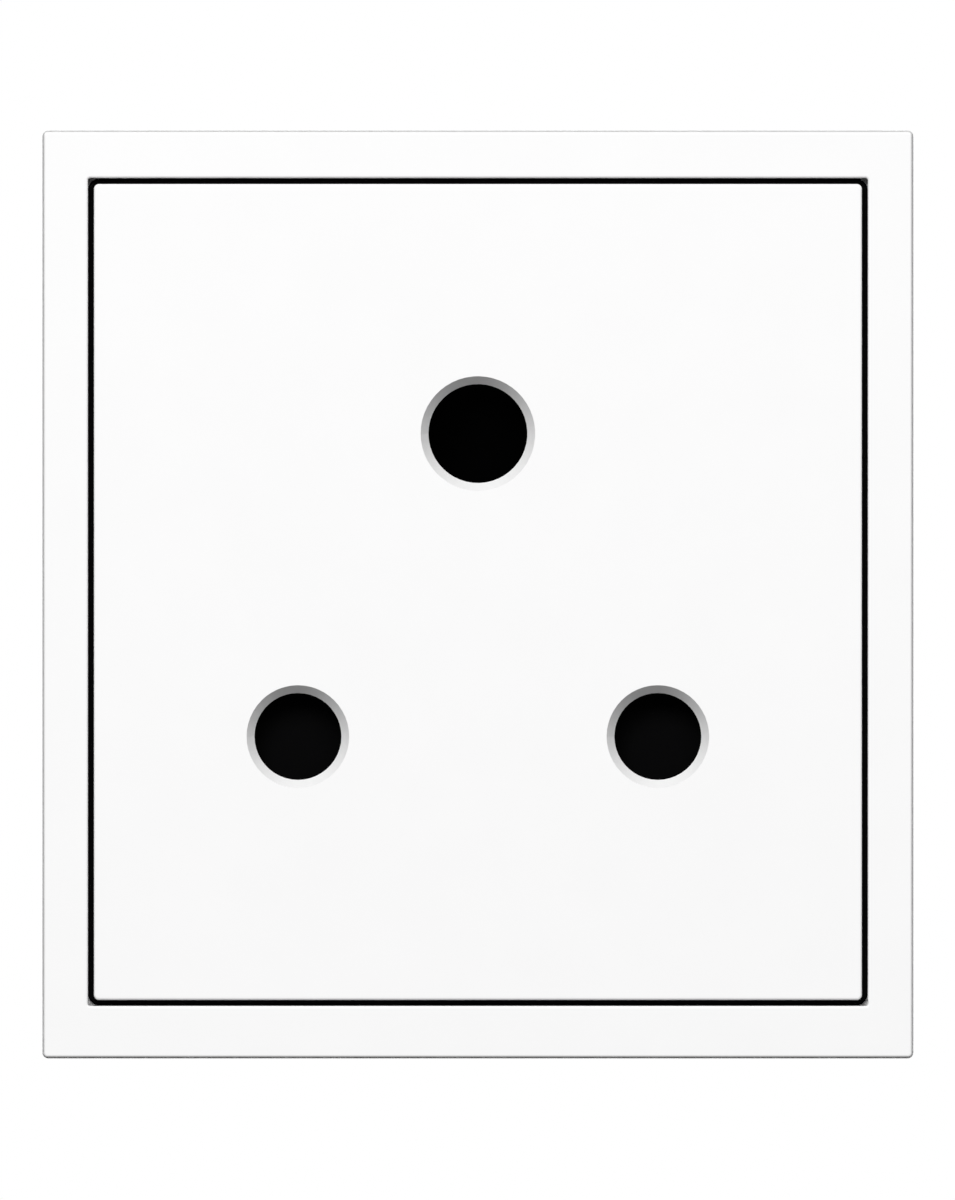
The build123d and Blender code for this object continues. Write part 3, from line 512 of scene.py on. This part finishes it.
def stand_for(obj, slot, *nodes):
    """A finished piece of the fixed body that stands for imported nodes."""
    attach(obj, FIXED_BODY)
    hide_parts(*nodes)


def solids_of(node):
    """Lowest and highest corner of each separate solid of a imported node."""
    shape = bmesh.new()
    shape.from_mesh(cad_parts[node].data)
    bmesh.ops.remove_doubles(shape, verts=shape.verts, dist=SAME_PLACE)
    waiting = set(shape.verts)
    boxes = []
    while waiting:
        front = [waiting.pop()]
        places = []
        while front:
            vert = front.pop()
            places.append(vert.co.copy())
            fresh = [edge.other_vert(vert) for edge in vert.link_edges]
            fresh = [other for other in fresh if other in waiting]
            waiting.difference_update(fresh)
            front.extend(fresh)
        boxes.append((Vector(map(min, *places)), Vector(map(max, *places))))
    shape.free()
    return sorted(boxes, key=lambda box: tuple(round(part / MM, 2) for part in box[0]))


def face_middle(box, axis, inset=0):
    """Middle of a box, but on its far face along an axis or deeper by an inset."""
    low, high = box
    place = (low + high) / 2
    place[axis] = high[axis] - inset
    return place


def add_object(name, data):
    """New object of the scene with this data."""
    obj = bpy.data.objects.new(name, data)
    bpy.context.scene.collection.objects.link(obj)
    return obj


def mesh_from(shape, name):
    """New mesh from a working shape, which is freed."""
    mesh = bpy.data.meshes.new(name)
    shape.to_mesh(mesh)
    shape.free()
    return mesh


def point_mesh(name, points):
    """Mesh with only these points."""
    mesh = bpy.data.meshes.new(name)
    mesh.from_pydata([tuple(point) for point in points], [], [])
    return mesh


def new_tree(name, sockets):
    """Geometry tree with named inputs; gives the tree, its inputs and its output node."""
    tree = bpy.data.node_groups.new(name, "GeometryNodeTree")
    sockets = {"Geometry": "NodeSocketGeometry", **sockets, "Material": "NodeSocketMaterial"}
    for item, kind in sockets.items():
        tree.interface.new_socket(item, in_out="INPUT", socket_type=kind)
    tree.interface.new_socket("Geometry", in_out="OUTPUT", socket_type="NodeSocketGeometry")
    given = tree.nodes.new("NodeGroupInput")
    result = tree.nodes.new("NodeGroupOutput")
    inputs = {socket.name: Signal(tree, socket) for socket in given.outputs if socket.name}
    return tree, inputs, result


def end_tree(shape, given, result, turn):
    """Set the shape on the tree's points, turned, as one plain mesh with its material."""
    inputs = {"Points": given["Geometry"], "Instance": shape, "Rotation": turn}
    placed = shape.node("GeometryNodeInstanceOnPoints", {}, inputs)
    realized = placed.node("GeometryNodeRealizeInstances", {}, {"Geometry": placed})
    inputs = {"Geometry": realized, "Material": given["Material"]}
    realized.node("GeometryNodeSetMaterial", {}, inputs).feed(result, "Geometry")


def position_parts(start):
    """Position of each point of a shape, as three signals."""
    split = start.tree.nodes.new("ShaderNodeSeparateXYZ")
    start.node("GeometryNodeInputPosition").feed(split, "Vector")
    return [Signal(start.tree, socket) for socket in split.outputs]


def moved(shape, z):
    """Shape lifted along its axis."""
    up = shape.node("ShaderNodeCombineXYZ", {}, {"Z": z})
    return shape.node("GeometryNodeTransform", {}, {"Geometry": shape, "Translation": up})


def shaped(shape, x, y, z):
    """Shape with each of its points at a new place."""
    place = shape.node("ShaderNodeCombineXYZ", {}, {"X": x, "Y": y, "Z": z})
    return shape.node("GeometryNodeSetPosition", {}, {"Geometry": shape, "Position": place})


def combined(operation, first, *others):
    """Solid from solids: their union, or the first less the others."""
    settings = {"operation": operation, "solver": "EXACT"}
    if operation == "UNION":
        inputs = {"Mesh 2": [first, *others]}
    else:
        inputs = {"Mesh 1": first, "Mesh 2": list(others)}
    return first.node("GeometryNodeMeshBoolean", settings, inputs)


SCREW_INPUTS = {
    "Shank Diameter": "NodeSocketFloat",
    "Shank Length": "NodeSocketFloat",
    "Thread Pitch": "NodeSocketFloat",
    "Thread Depth": "NodeSocketFloat",
    "Point Length": "NodeSocketFloat",
    "Head Diameter": "NodeSocketFloat",
    "Head Foot Diameter": "NodeSocketFloat",
    "Head Height": "NodeSocketFloat",
    "Head Rim": "NodeSocketFloat",
    "Drive Length": "NodeSocketFloat",
    "Drive Width": "NodeSocketFloat",
    "Drive Depth": "NodeSocketFloat",
    "Drive Taper": "NodeSocketFloat",
    "Crossed": "NodeSocketBool",
}
SCREW_SIDES = 32
ROWS_PER_TURN = 8
SCREW_SEED = 5

# Steepness of the thread's flanks, and width of the tip as a share of the shank
FLANK_SLOPE = 1.6
TIP_WIDTH = 0.55


def screw_head(given):
    """Round head below the ground, with a bevelled rim and straight or tapered sides."""
    start = given["Geometry"]
    depth = given["Head Height"]
    rim = given["Head Rim"]
    radius = given["Head Diameter"] * 0.5
    inputs = {"Vertices": 2 * SCREW_SIDES, "Side Segments": 2, "Radius": radius, "Depth": depth}
    barrel = start.node("GeometryNodeMeshCylinder", {"fill_type": "NGON"}, inputs)
    across, along, up = position_parts(start)
    row = up * 2 / depth
    upper = row.math("MAXIMUM", row, 0.0)
    lower = upper - row
    width = 1 - (upper * rim + lower * (radius - given["Head Foot Diameter"] * 0.5)) / radius
    level = (upper - 1) * rim - lower * (depth - rim)
    return shaped(barrel, across * width, along * width, level)


def screw_shank(given):
    """Threaded shank with a tapered tip, from half-way down the head."""
    start = given["Geometry"]
    pitch = given["Thread Pitch"]
    radius = given["Shank Diameter"] * 0.5
    shank_length = given["Shank Length"]
    inputs = {
        "Vertices": SCREW_SIDES,
        "Side Segments": shank_length / pitch * ROWS_PER_TURN,
        "Radius": radius,
        "Depth": shank_length,
    }
    shank = start.node("GeometryNodeMeshCylinder", {"fill_type": "TRIANGLE_FAN"}, inputs)
    across, along, height = position_parts(start)
    turn = across.math("ARCTAN2", along, across) / (2 * math.pi)
    phase = turn.math("FRACT", height / pitch - turn)
    flank = phase.math("ABSOLUTE", phase * 2 - 1) * FLANK_SLOPE
    crest = flank.math("MINIMUM", flank, 1.0)
    from_tip = (height + shank_length * 0.5) / given["Point Length"]
    taper = from_tip.math("MINIMUM", from_tip, 1.0) * (1 - TIP_WIDTH) + TIP_WIDTH
    narrowed = taper - (1 - crest) * given["Thread Depth"] / radius
    shank = shaped(shank, across * narrowed, along * narrowed, height)
    return moved(shank, shank_length * -0.5 - given["Head Height"] * 0.5)


def drive_cutters(given):
    """Two bars to cut from the head: crossed for a cross recess, the same twice for a slot."""
    start = given["Geometry"]
    depth = given["Drive Depth"]
    inputs = {"X": given["Drive Length"], "Y": given["Drive Width"], "Z": depth * 2}
    size = start.node("ShaderNodeCombineXYZ", {}, inputs)
    bar = start.node("GeometryNodeMeshCube", {}, {"Size": size})
    across, along, height = position_parts(start)
    closing = 1 + height / depth * given["Drive Taper"]
    bar = shaped(bar, across * closing, along * closing, height)
    turned = bar.node("GeometryNodeTransform", {}, {"Geometry": bar, "Rotation": QUARTER_TURN})
    inputs = {"Switch": given["Crossed"], "False": bar, "True": turned}
    return bar, bar.node("GeometryNodeSwitch", {"input_type": "GEOMETRY"}, inputs)


def screw_tree():
    """Threaded screw with its head's top on each point and a slot or a cross recess in it."""
    tree, given, result = new_tree("screw", SCREW_INPUTS)
    solid = combined("UNION", screw_head(given), screw_shank(given))
    driven = combined("DIFFERENCE", solid, *drive_cutters(given))
    inputs = {"Max": math.pi, "Seed": SCREW_SEED}
    any_angle = driven.node("FunctionNodeRandomValue", {"data_type": "FLOAT"}, inputs, "Value")
    inputs = {"X": HEAD_TO_THE_BACK[0], "Y": any_angle}
    end_tree(driven, given, result, any_angle.node("ShaderNodeCombineXYZ", {}, inputs))
    return tree


def close_slivers(mesh):
    """Merge points that fall together, drop faces without area and split up the others."""
    shape = bmesh.new()
    shape.from_mesh(mesh)
    bmesh.ops.remove_doubles(shape, verts=shape.verts, dist=SLIVER)
    bmesh.ops.dissolve_degenerate(shape, edges=shape.edges, dist=SLIVER)
    bmesh.ops.triangulate(shape, faces=shape.faces)
    shape.to_mesh(mesh)
    shape.free()


def smooth_by_angle(mesh):
    """Smooth shading with hard edges where faces meet at a sharp angle."""
    mesh.shade_smooth()
    mesh.set_sharp_from_angle(angle=SMOOTH_BELOW)


def grown(name, tree, points, slot, sizes):
    """Plain mesh object that a geometry tree makes on points, with its inputs set by name."""
    obj = add_object(name, point_mesh(name, points))
    modifier = obj.modifiers.new("Geometry", "NODES")
    modifier.node_group = tree
    values = {**sizes, "Material": finish_of(slot)}
    for item in tree.interface.items_tree:
        if item.in_out == "INPUT" and item.name in values:
            modifier[item.identifier] = values[item.name]
    evaluated = obj.evaluated_get(bpy.context.evaluated_depsgraph_get())
    mesh = bpy.data.meshes.new_from_object(evaluated)
    obj.modifiers.remove(modifier)
    obj.data = mesh
    mesh.name = name
    close_slivers(mesh)
    smooth_by_angle(mesh)
    return obj


class SOCKET_OT_front_plates(bpy.types.Operator):
    """Give the cover frame and the centre plate their white finish"""

    bl_idname = "socket.front_plates"
    bl_label = "Front plates"

    def execute(self, context):
        dress(FRONT_PLATES, "white_plastic")
        return {"FINISHED"}


class SOCKET_OT_black_mouldings(bpy.types.Operator):
    """Give the clip frame, the pin guide and the shutter their black finish"""

    bl_idname = "socket.black_mouldings"
    bl_label = "Black mouldings"

    def execute(self, context):
        dress(BLACK_MOULDINGS_WITH_GAP_SHADE, "black_plastic")
        dress(DULL_BLACK_MOULDINGS, "dull_black")
        return {"FINISHED"}


class SOCKET_OT_housing(bpy.types.Operator):
    """Give the contact housing and its rear cover their finish"""

    bl_idname = "socket.housing"
    bl_label = "Housing"

    def execute(self, context):
        dress(HOUSING_MOULDINGS, "housing_plastic")
        return {"FINISHED"}


class SOCKET_OT_support_plate(bpy.types.Operator):
    """Give the support plate its zinc plating"""

    bl_idname = "socket.support_plate"
    bl_label = "Support plate"

    def execute(self, context):
        dress(("support_plate",), "zinc_plated_steel")
        return {"FINISHED"}


class SOCKET_OT_contacts(bpy.types.Operator):
    """Give the contacts, the earth strap and the spring rings their metals"""

    bl_idname = "socket.contacts"
    bl_label = "Contacts"

    def execute(self, context):
        dress(BRASS_PIECES, "brass")
        dress(SPRING_RINGS, "spring_steel")
        return {"FINISHED"}


class SOCKET_OT_body_screws(bpy.types.Operator):
    """Make the four long countersunk screws that hold the insert together"""

    bl_idname = "socket.body_screws"
    bl_label = "Body screws"

    def execute(self, context):
        sizes = context.scene.socket_fasteners
        boxes = solids_of("body_screws")
        low, high = boxes[0]
        head = high.x - low.x
        foot = sizes.body_shank - 2 * sizes.body_thread
        cone = (head - foot) / 2
        obj = grown(
            "body_screws_cross_head",
            screw_tree(),
            [face_middle(box, INTO_WALL) for box in boxes],
            "zinc_plated_steel",
            {
                "Shank Diameter": sizes.body_shank,
                "Shank Length": high.y - low.y - cone / 2,
                "Thread Pitch": sizes.body_pitch,
                "Thread Depth": sizes.body_thread,
                "Point Length": sizes.body_point,
                "Head Diameter": head,
                "Head Foot Diameter": foot,
                "Head Height": cone,
                "Head Rim": sizes.cone_rim,
                "Drive Length": sizes.cross_length,
                "Drive Width": sizes.cross_width,
                "Drive Depth": sizes.cross_depth,
                "Drive Taper": sizes.cross_taper,
                "Crossed": True,
            },
        )
        stand_for(obj, "zinc_plated_steel", "body_screws")
        return {"FINISHED"}


class SOCKET_OT_terminal_screws(bpy.types.Operator):
    """Make the slotted clamp screw of each terminal"""

    bl_idname = "socket.terminal_screws"
    bl_label = "Terminal screws"

    def execute(self, context):
        sizes = context.scene.socket_fasteners
        tree = screw_tree()
        for node in TERMINAL_SCREWS:
            low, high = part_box(node)
            head = high.x - low.x
            obj = grown(
                f"{node}_slotted",
                tree,
                [face_middle((low, high), INTO_WALL)],
                "zinc_plated_steel",
                {
                    "Shank Diameter": sizes.clamp_shank,
                    "Shank Length": high.y - low.y - sizes.clamp_head / 2,
                    "Thread Pitch": sizes.clamp_pitch,
                    "Thread Depth": sizes.clamp_thread,
                    "Point Length": sizes.clamp_point,
                    "Head Diameter": head,
                    "Head Foot Diameter": head,
                    "Head Height": sizes.clamp_head,
                    "Head Rim": sizes.head_rim,
                    "Drive Length": 2 * head,
                    "Drive Width": sizes.slot_width,
                    "Drive Depth": sizes.slot_depth,
                    "Drive Taper": 0.0,
                    "Crossed": False,
                },
            )
            stand_for(obj, "zinc_plated_steel", node)
        return {"FINISHED"}


RIVET_INPUTS = {
    "Shank Diameter": "NodeSocketFloat",
    "Shank Length": "NodeSocketFloat",
    "Head Diameter": "NodeSocketFloat",
    "Head Height": "NodeSocketFloat",
    "Second Head": "NodeSocketBool",
    "Turn": "NodeSocketVector",
}
RIVET_SIDES = 32
RIVET_RINGS = 16


def dome(start, diameter, height):
    """Half of a flattened ball with its flat side on the ground."""
    inputs = {"Segments": RIVET_SIDES, "Rings": RIVET_RINGS, "Radius": diameter * 0.5}
    ball = start.node("GeometryNodeMeshUVSphere", {}, inputs)
    across, along, up = position_parts(start)
    lifted = up.math("MAXIMUM", up, 0.0) * height / (diameter * 0.5)
    return shaped(ball, across, along, lifted)


def rivet_tree():
    """Rivet with the foot of its domed head on each point and, if wanted, a head at its far end."""
    tree, given, result = new_tree("rivet", RIVET_INPUTS)
    start = given["Geometry"]
    shank_length = given["Shank Length"]
    head_height = given["Head Height"]
    inputs = {
        "Vertices": RIVET_SIDES,
        "Radius": given["Shank Diameter"] * 0.5,
        "Depth": shank_length + head_height * 0.5,
    }
    shank = start.node("GeometryNodeMeshCylinder", {"fill_type": "NGON"}, inputs)
    shank = moved(shank, shank_length * -0.5 + head_height * 0.25)
    head = dome(start, given["Head Diameter"], head_height)
    far_head = head.node("GeometryNodeTransform", {}, {"Geometry": head, "Rotation": UPSIDE_DOWN})
    far_head = moved(far_head, 0 - shank_length)
    inputs = {"Switch": given["Second Head"], "True": far_head}
    far_head = far_head.node("GeometryNodeSwitch", {"input_type": "GEOMETRY"}, inputs)
    end_tree(combined("UNION", head, shank, far_head), given, result, given["Turn"])
    return tree


def joined(parts):
    """First object with the meshes of all of them; the others are removed."""
    shape = bmesh.new()
    for part in parts:
        shape.from_mesh(part.data)
    shape.to_mesh(parts[0].data)
    shape.free()
    for part in parts[1:]:
        bpy.data.objects.remove(part)
    smooth_by_angle(parts[0].data)
    return parts[0]


class SOCKET_OT_strap_rivets(bpy.types.Operator):
    """Make the two rivets of the earth strap, with domed heads"""

    bl_idname = "socket.strap_rivets"
    bl_label = "Strap rivets"

    def execute(self, context):
        sizes = context.scene.socket_fasteners
        through_plate, into_contact = sorted(solids_of("strap_rivets"), key=lambda box: box[1].y)
        tree = rivet_tree()
        shared = {
            "Shank Diameter": sizes.rivet_shank,
            "Head Diameter": sizes.rivet_head,
            "Head Height": sizes.rivet_dome,
        }
        low, high = through_plate
        plate_rivet = grown(
            "strap_rivets_domed",
            tree,
            [face_middle(through_plate, INTO_WALL, sizes.rivet_dome)],
            "zinc_plated_steel",
            {
                **shared,
                "Shank Length": high.y - low.y - 2 * sizes.rivet_dome,
                "Second Head": True,
                "Turn": HEAD_TO_THE_BACK,
            },
        )
        low, high = into_contact
        contact_rivet = grown(
            "contact_rivet",
            tree,
            [face_middle(into_contact, ACROSS, sizes.rivet_dome)],
            "zinc_plated_steel",
            {
                **shared,
                "Shank Length": high.x - low.x - sizes.rivet_dome,
                "Second Head": False,
                "Turn": HEAD_TO_THE_RIGHT,
            },
        )
        stand_for(joined([plate_rivet, contact_rivet]), "zinc_plated_steel", "strap_rivets")
        return {"FINISHED"}


SPRING_INPUTS = {
    "Coil Diameter": "NodeSocketFloat",
    "Wire Diameter": "NodeSocketFloat",
    "Length": "NodeSocketFloat",
    "Turns": "NodeSocketFloat",
}
SPRING_STEPS = 40
WIRE_SIDES = 12


def spring_tree():
    """Coil spring that stands on each point, with a closed turn at each end."""
    tree, given, result = new_tree("spring", SPRING_INPUTS)
    start = given["Geometry"]
    wire = given["Wire Diameter"]
    turns = given["Turns"]
    rise = given["Length"] - wire
    radius = (given["Coil Diameter"] - wire) * 0.5
    inputs = {
        "Resolution": SPRING_STEPS,
        "Rotations": turns,
        "Start Radius": radius,
        "End Radius": radius,
        "Height": rise,
    }
    coil = start.node("GeometryNodeCurveSpiral", {}, inputs)
    done = start.node("GeometryNodeSplineParameter", output="Factor") * turns
    first = done.math("MINIMUM", done, 1.0)
    last = done.math("MAXIMUM", done - turns + 1, 0.0)
    middle = (done - first - last) / (turns - 2)
    height = (first + last) * wire + middle * (rise - wire * 2) + wire * 0.5
    across, along, _ = position_parts(start)
    coil = shaped(coil, across, along, height)
    inputs = {"Resolution": WIRE_SIDES, "Radius": wire * 0.5}
    section = start.node("GeometryNodeCurvePrimitiveCircle", {}, inputs)
    inputs = {"Curve": coil, "Profile Curve": section, "Fill Caps": True}
    end_tree(coil.node("GeometryNodeCurveToMesh", {}, inputs), given, result, (0, 0, 0))
    return tree


class SOCKET_OT_shutter_spring(bpy.types.Operator):
    """Make the coil spring that closes the shutter"""

    bl_idname = "socket.shutter_spring"
    bl_label = "Shutter spring"

    def execute(self, context):
        sizes = context.scene.socket_spring
        low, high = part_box("shutter_spring")
        middle = (low + high) / 2
        obj = grown(
            "shutter_spring_coil",
            spring_tree(),
            [(middle.x, middle.y, low.z)],
            "spring_steel",
            {
                "Coil Diameter": high.x - low.x,
                "Wire Diameter": sizes.wire,
                "Length": high.z - low.z,
                "Turns": sizes.turns,
            },
        )
        stand_for(obj, "spring_steel", "shutter_spring")
        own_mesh(obj)
        return {"FINISHED"}


# Widths of the earth sign's bars as shares of its height
EARTH_BARS = (0.9, 0.6, 0.3)


def letter(text, height, relief):
    """Flat-backed letter of a given height, as a mesh that stands up from the ground."""
    curve = bpy.data.curves.new("letter", "FONT")
    curve.body = text
    curve.extrude = relief / 2
    curve.align_x = "CENTER"
    curve.align_y = "CENTER"
    holder = add_object("letter", curve)
    evaluated = holder.evaluated_get(bpy.context.evaluated_depsgraph_get())
    mesh = bpy.data.meshes.new_from_object(evaluated)
    bpy.data.objects.remove(holder)
    corners = [vert.co for vert in mesh.vertices]
    low = Vector(map(min, *corners))
    high = Vector(map(max, *corners))
    size = height / (high.y - low.y)
    flat = Matrix.Diagonal((size, size, 1, 1))
    mesh.transform(flat @ Matrix.Translation(-(low + high) / 2))
    return mesh


def earth_sign(height, stroke, relief):
    """Earth sign: a stem on three bars, each shorter than the one above."""
    shape = bmesh.new()
    for row, width in enumerate(EARTH_BARS):
        reach = width * height / 2
        low = -row * height / 4 - stroke / 2
        high = low + stroke
        outline = [(-reach, low), (reach, low), (reach, high), (-reach, high)]
        if row == 0:
            top = high + height / 2
            outline[3:3] = [(high, high), (high, top), (-high, top), (-high, high)]
        foot = [shape.verts.new((x, y, -relief / 2)) for x, y in outline]
        face = [shape.verts.new((x, y, relief / 2)) for x, y in outline]
        shape.faces.new(reversed(foot))
        shape.faces.new(face)
        for corner in range(len(outline)):
            last = corner - 1
            shape.faces.new((foot[last], foot[corner], face[corner], face[last]))
    return mesh_from(shape, "earth_sign")


class SOCKET_OT_terminal_marks(bpy.types.Operator):
    """Make the raised letters and the earth sign beside the terminals"""

    bl_idname = "socket.terminal_marks"
    bl_label = "Terminal marks"

    def execute(self, context):
        sizes = context.scene.socket_marks
        surface = solids_of("body_screws")[0][1].y
        line = letter("L", sizes.height, sizes.relief)
        neutral = letter("N", sizes.height, sizes.relief)
        earth = earth_sign(sizes.height, sizes.stroke, sizes.relief)
        marks = (
            ("line_terminal_screw", line, sizes.offset),
            ("neutral_terminal_screw", neutral, sizes.offset),
            ("earth_terminal_screw", earth, -sizes.offset),
        )
        shape = bmesh.new()
        for node, mesh, rise in marks:
            low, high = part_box(node)
            place = (low + high) / 2
            place.y = surface + sizes.relief / 2
            place.z += rise
            mesh.transform(Matrix.Translation(place) @ READ_FROM_THE_BACK)
            shape.from_mesh(mesh)
        bmesh.ops.remove_doubles(shape, verts=shape.verts, dist=SAME_PLACE)
        bmesh.ops.recalc_face_normals(shape, faces=shape.faces)
        obj = add_object("terminal_marks", mesh_from(shape, "terminal_marks"))
        obj.data.materials.append(finish_of("rubbed_plastic"))
        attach(obj, FIXED_BODY)
        return {"FINISHED"}


Lamp = namedtuple("Lamp", "name x y z width height power mirrored")
LAMPS = (
    Lamp("key_softbox", -0.35, -1.78, 0.86, 0.8, 0.68, 34.8, True),
    Lamp("fill_softbox", 0.54, -1.74, 0.79, 0.68, 0.68, 10.15, True),
    Lamp("rear_softbox", 0.03, 1.25, 0.14, 2.4, 0.26, 16.5, False),
)


def add_lamp(lamp, aim):
    """Soft box at its place, turned to a point."""
    data = bpy.data.lights.new(lamp.name, "AREA")
    data.shape = "RECTANGLE"
    data.size = lamp.width
    data.size_y = lamp.height
    data.energy = lamp.power
    obj = add_object(lamp.name, data)
    obj.location = (lamp.x, lamp.y, lamp.z)
    obj.rotation_euler = (aim - obj.location).to_track_quat("-Z", "Y").to_euler()
    obj.visible_camera = False
    obj.visible_glossy = lamp.mirrored


def white_surroundings(ambient):
    """World that looks white and lights the object only a little."""
    world = bpy.data.worlds.new("white_surroundings")
    bpy.context.scene.world = world
    world.use_nodes = True
    tree = world.node_tree
    background = tree.nodes["Background"]
    background.inputs["Color"].default_value = (1, 1, 1, 1)
    path = tree.nodes.new("ShaderNodeLightPath")
    seen = Signal(tree, path.outputs["Is Camera Ray"]) + Signal(tree, path.outputs["Is Glossy Ray"])
    seen = seen + Signal(tree, path.outputs["Is Transmission Ray"])
    seen = seen.math("MINIMUM", seen, 1.0)
    (ambient + seen * (1 - ambient)).feed(background, "Strength")


def floor_finish(stage):
    """Pale floor that fades out into the white surroundings and is clear from below."""
    material, start, shader = material_with("studio_floor", {"Roughness": 0.8})
    shader.inputs["Base Color"].default_value = (*stage.floor_colour, 1)
    place = object_place(start)
    distance = place.node("ShaderNodeVectorMath", {"operation": "LENGTH"}, {0: place}, "Value")
    limits = {
        "Value": distance,
        "From Min": stage.fade_start * stage.floor_radius,
        "From Max": stage.fade_end * stage.floor_radius,
    }
    fade = distance.node("ShaderNodeMapRange", {"interpolation_type": "SMOOTHSTEP"}, limits)
    underside = start.node("ShaderNodeNewGeometry", output="Backfacing")
    fade = fade.math("MAXIMUM", fade, underside)
    clear = start.node("ShaderNodeBsdfTransparent")
    solid = Signal(material.node_tree, shader.outputs["BSDF"])
    output = material.node_tree.nodes["Material Output"]
    fade.node("ShaderNodeMixShader", {}, {0: fade, 1: solid, 2: clear}).feed(output, "Surface")
    return material


def add_floor(stage):
    """Disc below the object that takes its soft shadow."""
    shape = bmesh.new()
    sizes = {"segments": stage.floor_segments, "radius": stage.floor_radius}
    bmesh.ops.create_circle(shape, cap_ends=True, **sizes)
    floor = add_object("studio_floor", mesh_from(shape, "studio_floor"))
    floor.data.materials.append(floor_finish(stage))
    floor.location.z = -stage.floor_drop
    floor.visible_diffuse = False


def add_camera(stage, front):
    """Camera that looks straight at the front plate."""
    data = bpy.data.cameras.new("photo_camera")
    data.lens = data.sensor_width * stage.camera_distance / stage.picture_height
    camera = add_object("photo_camera", data)
    camera.location = (stage.camera_across, front - stage.camera_distance, stage.camera_up)
    camera.rotation_euler = (math.pi / 2, 0, 0)
    bpy.context.scene.camera = camera


class SOCKET_OT_stage(bpy.types.Operator):
    """Set up the floor, the light and the camera"""

    bl_idname = "socket.stage"
    bl_label = "Stage"

    def execute(self, context):
        stage = context.scene.socket_stage
        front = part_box("centre_plate")[0].y
        context.scene.view_settings.view_transform = "Standard"
        add_floor(stage)
        white_surroundings(stage.ambient)
        for lamp in LAMPS:
            add_lamp(lamp, Vector((0, front, 0)))
        add_camera(stage, front)
        return {"FINISHED"}


GROUPS = {
    "socket_finishes": SocketFinishes,
    "socket_fasteners": SocketFasteners,
    "socket_spring": SocketSpring,
    "socket_marks": SocketMarks,
    "socket_stage": SocketStage,
}
OPERATORS = (
    SOCKET_OT_front_plates,
    SOCKET_OT_black_mouldings,
    SOCKET_OT_housing,
    SOCKET_OT_support_plate,
    SOCKET_OT_contacts,
    SOCKET_OT_body_screws,
    SOCKET_OT_terminal_screws,
    SOCKET_OT_strap_rivets,
    SOCKET_OT_shutter_spring,
    SOCKET_OT_terminal_marks,
    SOCKET_OT_stage,
)


class SOCKET_PT_looks(bpy.types.Panel):
    """Lists the pieces and the sizes and colours behind them"""

    bl_idname = "SOCKET_PT_looks"
    bl_label = "Wall socket"
    bl_space_type = "VIEW_3D"
    bl_region_type = "UI"
    bl_category = "Socket"

    def draw(self, context):
        for operator in OPERATORS:
            self.layout.operator(operator.bl_idname)
        for name, group in GROUPS.items():
            box = self.layout.box()
            for item in group.__annotations__:
                box.prop(getattr(context.scene, name), item)


def register():
    """Make the property groups, the operators and the panel known."""
    for name, group in GROUPS.items():
        bpy.utils.register_class(group)
        setattr(bpy.types.Scene, name, PointerProperty(type=group))
    for item in (*OPERATORS, SOCKET_PT_looks):
        bpy.utils.register_class(item)


def unregister():
    """Take them away again."""
    for item in (SOCKET_PT_looks, *reversed(OPERATORS)):
        bpy.utils.unregister_class(item)
    for name, group in reversed(GROUPS.items()):
        delattr(bpy.types.Scene, name)
        bpy.utils.unregister_class(group)


def main():
    """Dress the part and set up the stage."""
    register()
    bpy.ops.socket.front_plates()
    bpy.ops.socket.black_mouldings()
    bpy.ops.socket.housing()
    bpy.ops.socket.support_plate()
    bpy.ops.socket.contacts()
    bpy.ops.socket.body_screws()
    bpy.ops.socket.terminal_screws()
    bpy.ops.socket.strap_rivets()
    bpy.ops.socket.shutter_spring()
    bpy.ops.socket.terminal_marks()
    bpy.ops.socket.stage()


if __name__ == "__main__":
    main()
